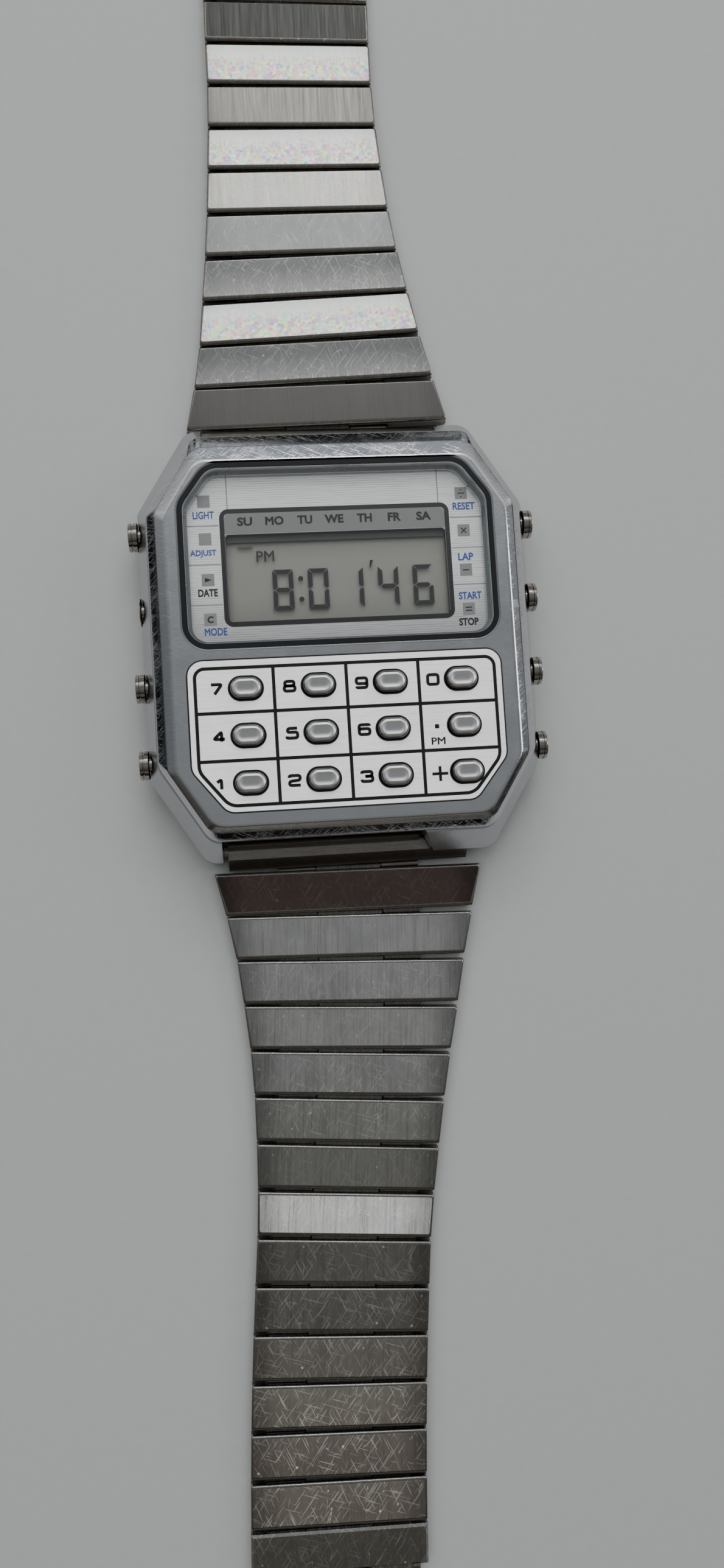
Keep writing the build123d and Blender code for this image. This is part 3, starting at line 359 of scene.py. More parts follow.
@dataclass(frozen=True)
class ChromePlate(Finish):
    """Chrome plate over brass: polished or satin, with dings and fine wipe marks.

    Polished chrome mirrors the room in hard bands; worn places sparkle with small pits.
    """

    name: str
    colour: str = "C9CBCD"
    metallic: float = 1.0
    roughness: float = 0.12
    cloud: float = 2.0
    wipe: float = 0.3
    pits: float = 0.0
    pit_size: float = 0.16
    pit_patch: float = 2.2222
    marks: float = 0.0
    dent: float = 1.3333

    def pattern(self, add: Add, mm: bpy.types.Node) -> Wires:
        """A cloudy roughness, wipe lines, pits where a slow noise allows them, and marks.

        Args:
            add: adds a node to this material's tree.
            mm: the object's own place in millimetres.
        Returns:
            What feeds the shader's inputs, by their names.
        """
        cloud = add("TexNoise", {"Vector": mm, "Scale": 1 / self.cloud, "Detail": 4.0,
                                 "Roughness": 0.6})
        rough = add("MapRange", {0: cloud, 1: 0.3, 2: 0.7, 3: self.roughness * 0.75,
                                 4: self.roughness * 1.35})
        lines = add("Mapping", {0: mm, "Rotation": (0, 0, 0.2), "Scale": (0.5, 9.0, 2.0)})
        wipes = add("TexNoise", {"Vector": lines, "Scale": 1.0, "Detail": 3.0})
        dull = add("ValToRGB", {0: wipes}, ((0.35, 0.8), (0.62, 1.0)))
        colour = add("Mix", {0: self.wipe, MIX_A: self.colour, MIX_B: dull}, **MULTIPLY)
        height = add("Bump", {"Strength": 0.08, "Distance": 0.02 * MM, "Height": wipes})
        if self.pits > 0:
            dots = add("TexVoronoi", {"Vector": mm, "Scale": 1 / self.pit_size})
            hole = add("ValToRGB", {0: dots}, ((0.12, 0.0), (0.4, 1.0)))
            where = add("TexNoise", {"Vector": mm, "Scale": 1 / self.pit_patch,
                                     "Detail": 3.0})
            allow = add("ValToRGB", {0: where}, ((0.5, 0.0), (0.62, self.pits)))
            height = add("Bump", {"Strength": allow, "Distance": 0.06 * MM, "Height": hole,
                                  "Normal": height})
        if self.marks > 0:
            dents = add("TexVoronoi", {"Vector": mm, "Scale": 1 / self.dent})
            both = overlaid(add, [scores(add, mm, 0.7, 0.6), scores(add, mm, -0.4, 0.62),
                                  add("ValToRGB", {0: dents}, ((0.06, 1.0), (0.2, 0.0)))])
            height = add("Bump", {"Strength": self.marks, "Distance": 0.05 * MM,
                                  "Height": both, "Normal": height})
        return {"Base Color": colour, "Roughness": rough, "Normal": height}


@dataclass(frozen=True)
class PinstripeSilver(Finish):
    """Silvered dial plate, ruled with fine horizontal lines about 0.2 mm apart.

    The lines break up here and there, and the plate is painted darker towards its lower end, as
    shade.
    """

    name: str
    colour: str = "C8CBCB"
    metallic: float = 0.3
    roughness: float = 0.38
    pitch: float = 0.21
    line: float = 0.5
    # Painted shade: share of the colour left at the lower end
    dull: float = 0.5
    lower_shade_y: Point = (-0.5, 5.0)

    def pattern(self, add: Add, mm: bpy.types.Node) -> Wires:
        """Bands along Y, where the factor 0.314 turns a pitch in mm into the wave's scale.

        Args:
            add: adds a node to this material's tree.
            mm: the object's own place in millimetres.
        Returns:
            What feeds the shader's inputs, by their names.
        """
        wave = add("TexWave", {"Vector": mm, "Scale": 0.314 / self.pitch,
                               "Distortion": 0.0}, wave_type="BANDS", bands_direction="Y")
        broken = add("Mapping", {0: mm, "Scale": (0.6, 5.0, 1.0)})
        gaps = add("TexNoise", {"Vector": broken, "Scale": 1.0, "Detail": 2.0})
        lines = add("ValToRGB", {0: wave}, ((0.0, self.line), (0.3, 0.95), (0.6, 1.0)))
        fade = add("ValToRGB", {0: gaps}, ((0.35, 0.25), (0.65, 1.0)))
        soft = add("Mix", {0: fade, MIX_A: "FFFFFF", MIX_B: lines}, **BLEND)
        colour = add("Mix", {0: 1.0, MIX_A: self.colour, MIX_B: soft}, **MULTIPLY)
        # Painted shade: darker towards the lower end
        place = add("SeparateXYZ", {0: mm}).outputs[1]
        lower_shade = add("MapRange", {0: place, 1: self.lower_shade_y[0], 2: self.lower_shade_y[1],
                                3: self.dull, 4: 1.0})
        return {"Base Color": add("Mix", {0: 1.0, MIX_A: colour, MIX_B: lower_shade}, **MULTIPLY),
                "Normal": add("Bump", {"Strength": 0.25, "Distance": 0.01 * MM,
                                       "Height": wave})}


@dataclass(frozen=True)
class Speckled(Finish):
    """Moulded or cast surface with a fine grain: plastic, rubber, glass reflector, ink."""

    name: str
    colour: str = "808080"
    metallic: float = 0.0
    roughness: float = 0.5
    grain: float = 0.12
    depth: float = 0.2
    bump: float = 0.1

    def pattern(self, add: Add, mm: bpy.types.Node) -> Wires:
        """A fine noise darkens the colour a little and roughens the surface.

        Args:
            add: adds a node to this material's tree.
            mm: the object's own place in millimetres.
        Returns:
            What feeds the shader's inputs, by their names.
        """
        grains = add("TexNoise", {"Vector": mm, "Scale": 1 / self.grain, "Detail": 2.0,
                                  "Roughness": 0.6})
        tone = add("ValToRGB", {0: grains}, ((0.3, 0.6), (0.7, 1.0)))
        return {"Base Color": add("Mix", {0: self.depth, MIX_A: self.colour, MIX_B: tone},
                                  **MULTIPLY),
                "Normal": add("Bump", {"Strength": self.bump, "Distance": 0.01 * MM,
                                       "Height": grains})}


@dataclass(frozen=True)
class Reflector(Speckled):
    """Grey-green foil behind a liquid crystal, with the shade of the deep frame around it
    painted on.
    """

    painted_shade_span: Point = (1.3, 9.4)

    def pattern(self, add: Add, mm: bpy.types.Node) -> Wires:
        """The grain, then a painted shade by height on the display: darkest at the top, where
        the frame's shadow falls, and darker towards the bottom.

        Args:
            add: adds a node to this material's tree.
            mm: the object's own place in millimetres.
        Returns:
            What feeds the shader's inputs, by their names.
        """
        wires = super().pattern(add, mm)
        place = add("SeparateXYZ", {0: mm}).outputs[1]
        level = add("MapRange", {0: place, 1: self.painted_shade_span[0], 2: self.painted_shade_span[1]})
        shade = add("ValToRGB", {0: level}, ((0.0, 0.74), (0.3, 0.97), (0.7, 1.0),
                                             (0.86, 0.86), (0.94, 0.5), (1.0, 0.4)))
        wires["Base Color"] = add("Mix", {0: 1.0, MIX_A: wires["Base Color"],
                                          MIX_B: shade}, **MULTIPLY)
        return wires


@dataclass(frozen=True)
class KeyMetal(Finish):
    """Pressed metal key: a satin grey crown inside a polished round rim.

    The crown is dull because it was blasted; the rim shows bright window-like highlights; the
    side below the rim is painted near black, as shade in the key hole.
    """

    name: str
    colour: str = "D6D6D7"
    metallic: float = 1.0
    roughness: float = 0.1
    satin: str = "FBFBFA"
    satin_roughness: float = 0.36
    satin_z: Point = (9.6, 9.65)
    # Painted shade: the key's side below the rim, dark as in the shade of its hole
    wall: str = "1A1A1B"
    wall_z: Point = (9.5, 9.58)
    grain: float = 0.1111

    def pattern(self, add: Add, mm: bpy.types.Node) -> Wires:
        """The height picks the side, painted dark as shade, the polished rim and the satin
        crown.

        Args:
            add: adds a node to this material's tree.
            mm: the object's own place in millimetres.
        Returns:
            What feeds the shader's inputs, by their names.
        """
        height = add("SeparateXYZ", {0: mm}).outputs[2]
        crown, wall = (add("MapRange", {0: height, 1: low, 2: high})
                       for low, high in (self.satin_z, self.wall_z))
        grains = add("TexNoise", {"Vector": mm, "Scale": 1 / self.grain, "Detail": 3.0})
        tone = add("ValToRGB", {0: grains}, ((0.3, 0.72), (0.7, 1.0)))
        satin = add("Mix", {0: 0.15, MIX_A: self.satin, MIX_B: tone}, **MULTIPLY)
        side = add("Mix", {0: wall, MIX_A: self.wall, MIX_B: self.colour}, **BLEND)
        return {"Base Color": add("Mix", {0: crown, MIX_A: side, MIX_B: satin}, **BLEND),
                "Roughness": add("MapRange", {0: crown, 3: self.roughness,
                                              4: self.satin_roughness}),
                "Normal": add("Bump", {"Strength": 0.1, "Distance": 0.01 * MM,
                                       "Height": grains})}


@dataclass(frozen=True)
class ClearGlass(Finish):
    """Mineral glass, drawn as a weak mirror over nothing, so that light reaches the dial.

    It reflects a few percent at the middle and more at its slanted rim.
    """

    name: str
    colour: str = "FFFFFF"
    metallic: float = 1.0
    roughness: float = 0.04
    smeared: float = 0.16
    smear: float = 2.5
    clear: float = 0.04
    edge: float = 0.55

    def pattern(self, add: Add, mm: bpy.types.Node) -> Wires:
        """The mirror's weight is its alpha, which grows towards grazing angles.

        Args:
            add: adds a node to this material's tree.
            mm: the object's own place in millimetres.
        Returns:
            What feeds the shader's inputs, by their names.
        """
        facing = add("LayerWeight", {"Blend": 0.2}).outputs["Facing"]
        smear = add("TexNoise", {"Vector": mm, "Scale": 1 / self.smear, "Detail": 5.0})
        return {"Alpha": add("MapRange", {0: facing, 3: self.clear, 4: self.edge}),
                "Roughness": add("MapRange", {0: smear, 1: 0.35, 2: 0.7,
                                              3: self.roughness, 4: self.smeared})}


# ---------------------------------------------------------------- finishes in use
# Chrome: plated over brass, blasted before plating where satin, buffed where polished.
# Satin flats read as even grey, facets mirror the room, the seat's wall is painted dark as
# shade.
FLAT_CHROME = ChromePlate("satin_chrome_flat", colour="D6D7D9", roughness=0.2, wipe=0.12,
                          pits=0.06, marks=0.08)
POLISHED_CHROME = ChromePlate("polished_chrome_facet", colour="D0D1D3", roughness=0.07,
                              wipe=0.3, pits=0.12, pit_size=0.08, marks=0.1)
SEAT_SHADE = ChromePlate("tarnished_seat_wall", colour="2C2D2E", roughness=0.4)
CASE_CHROME = ChromePlate("satin_chrome_case", colour="BBBDBF", roughness=0.22, wipe=0.12,
                          marks=0.05)
INNER_WALL = ChromePlate("polished_chrome_wall", colour="B9BBBD", roughness=0.12, wipe=0.4)
# Turned steel pushers and the keys' pressed metal: small hard highlights
PUSHER = ChromePlate("turned_polished_steel", colour="B4AFA8", roughness=0.12, wipe=0.5)
KEYS = KeyMetal("pressed_key_metal")
# Plates: the dial is silvered and ruled, the key plate brushed to a bright even white
DIAL = PinstripeSilver("silvered_dial_ruled")
KEY_PLATE = BrushedSteel("bright_brushed_aluminium", colour="E7E7E6", metallic=0.15,
                         roughness=0.36, grain=2.5, run=0.1, depth=0.42, bump=0.15,
                         scratches=0.0)
# Screen-printed inks: flat colours with a soft sheen; the black also paints shade in the key
# gaps
BLACK_INK_AND_SHADE = Speckled("black_print_ink", colour="070708", roughness=0.4, depth=0.3)
BLUE_INK = Speckled("blue_print_ink", colour="12347C", roughness=0.45, depth=0.3)
GREY_INK = Speckled("grey_print_ink", colour="6C6E6E", roughness=0.5, depth=0.25)
BAND_INK = Speckled("grey_band_ink", colour="626463", roughness=0.5, depth=0.12)
# Display: foil, a painted shadow strip where the frame shades it, polarised segments, thin
# glass over them
LCD_BACK = Reflector("display_reflector", colour="7F8078", roughness=0.5, grain=0.09,
                     depth=0.22)
LCD_SHADE = Speckled("display_border_shade", colour="343532", roughness=0.5, depth=0.15)
LCD_FAINT = Speckled("display_faint_mark", colour="40413D", roughness=0.5, depth=0.15)
LCD_INK = Speckled("display_segment", colour="16181A", roughness=0.4, depth=0.2)
LCD_GLASS = ClearGlass("display_glass_sheet", clear=0.03, edge=0.3)
# Crystal: cast and polished mineral glass with a ground, whitish edge in a black gasket
CRYSTAL = ClearGlass("mineral_glass")
GLASS_EDGE = ChromePlate("ground_glass_edge", colour="D5DADC", roughness=0.3, wipe=0.2)
SEAL = Speckled("black_moulded_gasket", colour="111213", roughness=0.22, depth=0.3)
# Bracelet: rolled sheet, dull underneath; its rolled edges are worn bright in short runs
LINK_BACK = BrushedSteel("rolled_steel_underside", colour="8C8A86", roughness=0.4,
                         scratches=0.1)
LOWER_EDGE = BrushedSteel("worn_dark_edge", colour="A3A19B", roughness=0.14, depth=0.6,
                          grain=0.2, run=0.25, bump=0.4, scratches=0.1)
LINK_EDGE = BrushedSteel("worn_bright_edge", colour="96928B", roughness=0.18, depth=0.5,
                         grain=0.25, run=0.25, bump=0.25, scratches=0.2)
END_STEEL = BrushedSteel("worn_end_link_steel", colour="9C968E", roughness=0.2,
                         grain=2.5, run=0.1, depth=0.5, bump=0.15, scratches=0.1)
CLASP_STEEL = BrushedSteel("brushed_clasp_steel", colour="B4B2AC", roughness=0.28)
# Underneath and inside: brushed back, turned screws, plated cells, drawn can, sprung sheet
BACK_STEEL = BrushedSteel("brushed_back_steel", colour="B7B5B0", roughness=0.3)
SMALL_STEEL = BrushedSteel("turned_small_steel", colour="A9A8A4", roughness=0.25)
CELL_STEEL = ChromePlate("nickel_plated_cell", colour="C4C4C1", roughness=0.2)
CAN_STEEL = ChromePlate("drawn_can_steel", colour="B9B9B7", roughness=0.22)
CLAMP_STEEL = BrushedSteel("sprung_sheet_steel", colour="B8B3A4", roughness=0.3)
CONTACT_GILT = ChromePlate("gilt_contact_sheet", colour="D9B76A", roughness=0.2)
# Moulded rubbers and plastics, matt and grainy, the epoxy board and the lamp's blown glass
RUBBER = Speckled("moulded_black_rubber", colour="141414", roughness=0.7, grain=0.3)
CONTACT_RUBBER = Speckled("carbon_contact_rubber", colour="2A2A2C", roughness=0.65)
BOARD = Speckled("glass_epoxy_board", colour="1E5A33", roughness=0.4, grain=0.25)
CHIP = Speckled("moulded_chip_body", colour="17171A", roughness=0.55, grain=0.2)
FRAME_PLASTIC = Speckled("moulded_frame_plastic", colour="232323", roughness=0.5)
LAMP_GLASS = Speckled("lamp_bulb_glass", colour="E9E4CF", roughness=0.15, depth=0.1)
# The table: sprayed laminate with a grain of about a millimetre
TABLE = Speckled("pale_laminate", colour="8F9090", roughness=0.6, grain=1.0, depth=0.08,
                 bump=0.2)


# ---------------------------------------------------------------- meshes
class Shell:
    """Collects grids and flat faces of one closed piece, in millimetres."""

    def __init__(self) -> None:
        """Starts with no faces."""
        self.points: list[Array] = []
        self.faces: list[tuple[int, ...]] = []
        self.slots: list[int] = []
        self.values: list[Array] = []
        self.count = 0

    def add(self, points: Array, faces: Iterable[Sequence[int]], slot: int = 0,
            values: Array | None = None) -> None:
        """Adds points and the faces between them.

        Args:
            points: an (n, 3) array.
            faces: corner numbers, counted from this block's first point.
            slot: number of the material.
            values: one number for each point, for the material to read.
        """
        block = np.asarray(points, float).reshape(-1, 3)
        for face in faces:
            self.faces.append(tuple(int(i) + self.count for i in face))
            self.slots.append(slot)
        self.points.append(block)
        self.values.append(np.zeros(len(block)) if values is None else values.ravel())
        self.count += len(block)

    def grid(self, rows: Array, slot: int = 0, values: Array | None = None) -> None:
        """Joins a stack of loops: rows[i, j] is the surface at parameters i and j.

        Args:
            rows: an (m, n, 3) array of m closed loops with n points each.
            slot: number of the material.
            values: an (m, n) array for the material to read.
        """
        high, wide = rows.shape[:2]
        i, j = np.meshgrid(np.arange(high - 1), np.arange(wide), indexing="ij")
        k = (j + 1) % wide
        quads = np.stack([i * wide + j, i * wide + k, (i + 1) * wide + k,
                          (i + 1) * wide + j], axis=-1).reshape(-1, 4)
        self.add(rows.reshape(-1, 3), quads, slot, values)

    def cap(self, loops: Sequence[Array], slot: int = 0,
            values: Array | None = None) -> None:
        """Fills a flat outline, with any holes in it.

        Args:
            loops: (n, 3) arrays: the outline first, then its holes.
            slot: number of the material.
            values: one number for each point, for the material to read.
        """
        triangles = tessellate_polygon([[Vector(p) for p in loop] for loop in loops])
        self.add(np.concatenate(loops), triangles, slot, values)

    def tube(self, low: Sequence[Array], high: Sequence[Array], slot: int = 0) -> None:
        """Closed solid between two flat faces, each an outline with its holes.

        Args:
            low: loops of the first face.
            high: loops of the second face, point for point.
            slot: number of the material.
        """
        for pair in zip(low, high):
            self.grid(np.stack(pair), slot)
        self.cap(low, slot)
        self.cap(high, slot)

    def prism(self, loops: Sequence[Array], low: float, high: float,
              slot: int = 0) -> None:
        """Upright solid between two heights.

        Args:
            loops: flat loops: the outline first, then its holes.
            low: lower height.
            high: upper height.
            slot: number of the material.
        """
        self.tube(*([raised(loop, z) for loop in loops] for z in (low, high)), slot)

    def piece(self, name: str, finishes: Sequence[Finish], body: str, record: str,
              node: str = "", smooth: float = 38.0) -> bpy.types.Object:
        """Makes the object, merged and with its faces outwards, and attaches it to its body.

        Args:
            name: the piece's name.
            finishes: its finishes, in the order of the slot numbers.
            body: the CAD body it moves with.
            record: the record's material slot; not used.
            node: the CAD node that it replaces, if any.
            smooth: the angle in degrees past which an edge stays sharp.
        Returns:
            The object.
        """
        mesh = bpy.data.meshes.new(name)
        mesh.from_pydata((np.concatenate(self.points) * MM).tolist(), [], self.faces)
        mesh.polygons.foreach_set("material_index", self.slots)
        along = mesh.attributes.new("along", "FLOAT", "POINT")
        along.data.foreach_set("value", np.concatenate(self.values))
        work = bmesh.new()
        work.from_mesh(mesh)
        bmesh.ops.remove_doubles(work, verts=work.verts, dist=MERGE)
        bmesh.ops.dissolve_degenerate(work, edges=work.edges, dist=MERGE)
        bmesh.ops.recalc_face_normals(work, faces=work.faces)
        work.to_mesh(mesh)
        work.free()
        mesh.polygons.foreach_set("use_smooth", [True] * len(mesh.polygons))
        mesh.set_sharp_from_angle(angle=math.radians(smooth))
        for finish in finishes:
            mesh.materials.append(finish.material())
        made = bpy.data.objects.new(name, mesh)
        bpy.context.scene.collection.objects.link(made)
        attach(made, body)
        if node:
            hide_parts(node)
        return made


def raised(loop: Array, height: float) -> Array:
    """Lifts an (n, 2) outline to one height."""
    flat = np.asarray(loop, float)
    return np.column_stack([flat, np.full(len(flat), height)])


def rounded(corners: Sequence[Point], radius: float | Sequence[float],
            steps: int = 7) -> Array:
    """Polygon with round corners, anticlockwise.

    A corner P with outward edge normals a and b has its arc about P - r (a + b) / (1 + a.b),
    and the arc's points are r times the unit vectors turned from a to b.

    Args:
        corners: the polygon's corners, anticlockwise.
        radius: one radius, or one for each corner.
        steps: points on each corner's arc.
    Returns:
        An (n, 2) array.
    """
    p = np.asarray(corners, float)
    r = np.broadcast_to(np.asarray(radius, float), len(p))[:, None]
    ahead = np.roll(p, -1, axis=0) - p
    ahead /= np.linalg.norm(ahead, axis=1, keepdims=True)
    b = np.column_stack([ahead[:, 1], -ahead[:, 0]])
    a = np.roll(b, 1, axis=0)
    centre = p - r * (a + b) / (1 + (a * b).sum(1, keepdims=True))
    start = np.arctan2(a[:, 1], a[:, 0])
    turn = np.arctan2(a[:, 0] * b[:, 1] - a[:, 1] * b[:, 0], (a * b).sum(1))
    angle = start[:, None] + turn[:, None] * np.linspace(0, 1, steps)[None, :]
    arc = np.stack([np.cos(angle), np.sin(angle)], axis=-1) * r[:, :, None]
    return (centre[:, None, :] + arc).reshape(-1, 2)


def circle(x: float, y: float, radius: float, steps: int) -> Array:
    """Points (x + r cos a, y + r sin a) of a circle, from its right."""
    turn = np.linspace(0, 2 * math.pi, steps, endpoint=False)
    return np.column_stack([x + radius * np.cos(turn), y + radius * np.sin(turn)])


def rect(left: float, right: float, low: float, high: float) -> list[Point]:
    """Corners of a rectangle, anticlockwise."""
    return [(left, low), (right, low), (right, high), (left, high)]


def boxed(x: float, y: float, half: Point) -> list[Point]:
    """Corners of a rectangle about a centre, anticlockwise."""
    return rect(x - half[0], x + half[0], y - half[1], y + half[1])


def stadium(x: float, y: float, length: float, width: float, steps: int = 14) -> Array:
    """Outline of a slot with round ends about a centre, along X."""
    nearly_half = 0.4995
    return rounded(boxed(x, y, (length / 2, width / 2)), width * nearly_half, steps)


def soften(a: Array, b: Array, c: Array, reach: float, steps: int = 5,
           most: float = 0.5) -> Array:
    """Rounds the edge at loop b between loops a and c.

    Each column follows the curve (1-t)^2 p + 2 t (1-t) b + t^2 q, where p and q lie on the
    way from b to a and from b to c, at the given reach.

    Args:
        a: the loop before the edge, (n, k).
        b: the loop on the edge.
        c: the loop after the edge.
        reach: distance from the edge at which the round starts and ends.
        steps: number of loops.
        most: largest share of the way to a neighbour that the round may take.
    Returns:
        A (steps, n, k) array of loops.
    """
    def towards(end: Array) -> Array:
        """Point on the way to another loop."""
        size = np.linalg.norm(end - b, axis=1, keepdims=True)
        return b + (end - b) * np.minimum(reach / np.maximum(size, TINY), most)

    t = np.linspace(0, 1, steps)[:, None, None]
    return (1 - t) ** 2 * towards(a) + 2 * t * (1 - t) * b + t ** 2 * towards(c)


def smooth_path(points: Sequence[Point], radius: float, closed: bool = False) -> Array:
    """Polyline with its inner corners turned into short curves, as soften does it.

    Args:
        points: the (n, 2) corners.
        radius: distance from a corner at which its curve starts.
        closed: whether the path closes.
    Returns:
        An (m, 2) array.
    """
    p = np.asarray(points, float)
    curves = soften(np.roll(p, 1, axis=0), p, np.roll(p, -1, axis=0), radius,
                    most=0.48)
    curves = curves.swapaxes(0, 1)
    if closed:
        return curves.reshape(-1, 2)
    return np.concatenate([p[:1], curves[1:-1].reshape(-1, 2), p[-1:]])


def ribbon(shell: Shell, path: Array, width: float, low: float, high: float,
           closed: bool = False, slot: int = 0) -> None:
    """Thin printed line: a rectangular profile carried along a flat path.

    The rails lie at p + n w / 2 and p - n w / 2, where n is the mean of the normals of the
    two runs that meet at p, lengthened so that each run keeps its width.

    Args:
        shell: the shell it goes into.
        path: the (n, 2) line.
        width: the line's width.
        low: lower height.
        high: upper height.
        closed: whether the path closes.
        slot: number of the material.
    """
    sharpest = 0.4
    p = np.asarray(path, float)
    run = np.roll(p, -1, axis=0) - p
    if not closed:
        run[-1] = run[-2]
    run /= np.maximum(np.linalg.norm(run, axis=1, keepdims=True), TINY)
    before = np.roll(run, 1, axis=0)
    if not closed:
        before[0] = run[0]
    a = np.column_stack([-before[:, 1], before[:, 0]])
    b = np.column_stack([-run[:, 1], run[:, 0]])
    mean = (a + b) / np.maximum(1 + (a * b).sum(1, keepdims=True), sharpest)
    left, right = p + mean * width / 2, p - mean * width / 2
    rows = np.stack([raised(left, high), raised(right, high), raised(right, low),
                     raised(left, low)], axis=1)
    if closed:
        rows = np.concatenate([rows, rows[:1]])
    shell.grid(rows, slot)
    if not closed:
        for end in (rows[0], rows[-1]):
            shell.add(end, [(0, 1, 2, 3)], slot)


def lettering(shell: Shell, text: str, centre: Point, size: Point, low: float, high: float,
              bold: float = 0.04) -> None:
    """Generic function word in plain letters, centred on a point and flat on a face.

    Args:
        shell: the shell it goes into.
        text: the word.
        centre: its middle.
        size: width of the whole word and height of its capitals.
        low: lower height.
        high: upper height.
        bold: how far the strokes are widened, as a share of the letters' size.
    """
    curve = bpy.data.curves.new("word", "FONT")
    curve.body = text
    curve.resolution_u = 3
    curve.bevel_depth = bold
    curve.bevel_resolution = 0
    curve.extrude = 0.5
    holder = bpy.data.objects.new("word", curve)
    mesh = bpy.data.meshes.new_from_object(holder)
    points = np.zeros(len(mesh.vertices) * 3)
    mesh.vertices.foreach_get("co", points)
    points = points.reshape(-1, 3)
    least, most = points.min(0), points.max(0)
    scale = np.array([*size, high - low]) / (most - least)
    points = (points - (least + most) / 2) * scale + (*centre, (low + high) / 2)
    shell.add(points, [tuple(f.vertices) for f in mesh.polygons])
    bpy.data.objects.remove(holder)
    bpy.data.curves.remove(curve)
    bpy.data.meshes.remove(mesh)


# ---------------------------------------------------------------- the head
@dataclass(frozen=True)
class Outline:
    """A rectangle about the Y axis with slanted corners, which can be moved inwards."""

    side: float
    top: float
    bottom: float
    upper_cut: Point = (0.0, 0.0)
    lower_cut: Point = (0.0, 0.0)
    upper_radius: float = 1.0
    lower_radius: float = 1.0
    least_radius: float = 0.05
    shrinks: bool = True
    steps: int = 7

    def corner(self, x: float, y: float, end: float, inset: float,
               cut: Point) -> list[Point]:
        """Points of one corner at +X and +Y, from its side to its end.

        A slant is the line nx x + ny y = d - inset, cut off where it meets the moved side
        and the moved end.

        Args:
            x: the moved side.
            y: the moved end.
            end: the end before it was moved.
            inset: inset of the slant.
            cut: how far the slant reaches across and along; zero for a square corner.
        Returns:
            One point or two.
        """
        if not any(cut):
            return [(x, y)]
        nx, ny = cut[1] / math.hypot(*cut), cut[0] / math.hypot(*cut)
        far = (self.side - cut[0]) * nx + end * ny - inset
        return [(x, (far - x * nx) / ny), ((far - y * ny) / nx, y)]

    def loop(self, insets: float | Sequence[float], height: float = 0.0) -> Array:
        """The outline moved inwards, at a height.

        Args:
            insets: one inset, or those of sides, top, bottom, upper and lower slants.
            height: its height.
        Returns:
            An (n, 3) loop, anticlockwise.
        """
        side, top, bottom, upper, lower = np.broadcast_to(insets, 5)
        x = self.side - side
        above = self.corner(x, self.top - top, self.top, upper, self.upper_cut)
        below = self.corner(x, -self.bottom - bottom, -self.bottom, lower, self.lower_cut)
        right = [(px, -py) for px, py in below[::-1]] + above
        less = side if self.shrinks else 0.0
        low_r, high_r = (max(r - less, self.least_radius)
                         for r in (self.lower_radius, self.upper_radius))
        radii = [low_r] * len(below) + [high_r] * len(above)
        left = [(-px, py) for px, py in reversed(right)]
        return raised(rounded(right + left, radii + radii[::-1], self.steps), height)


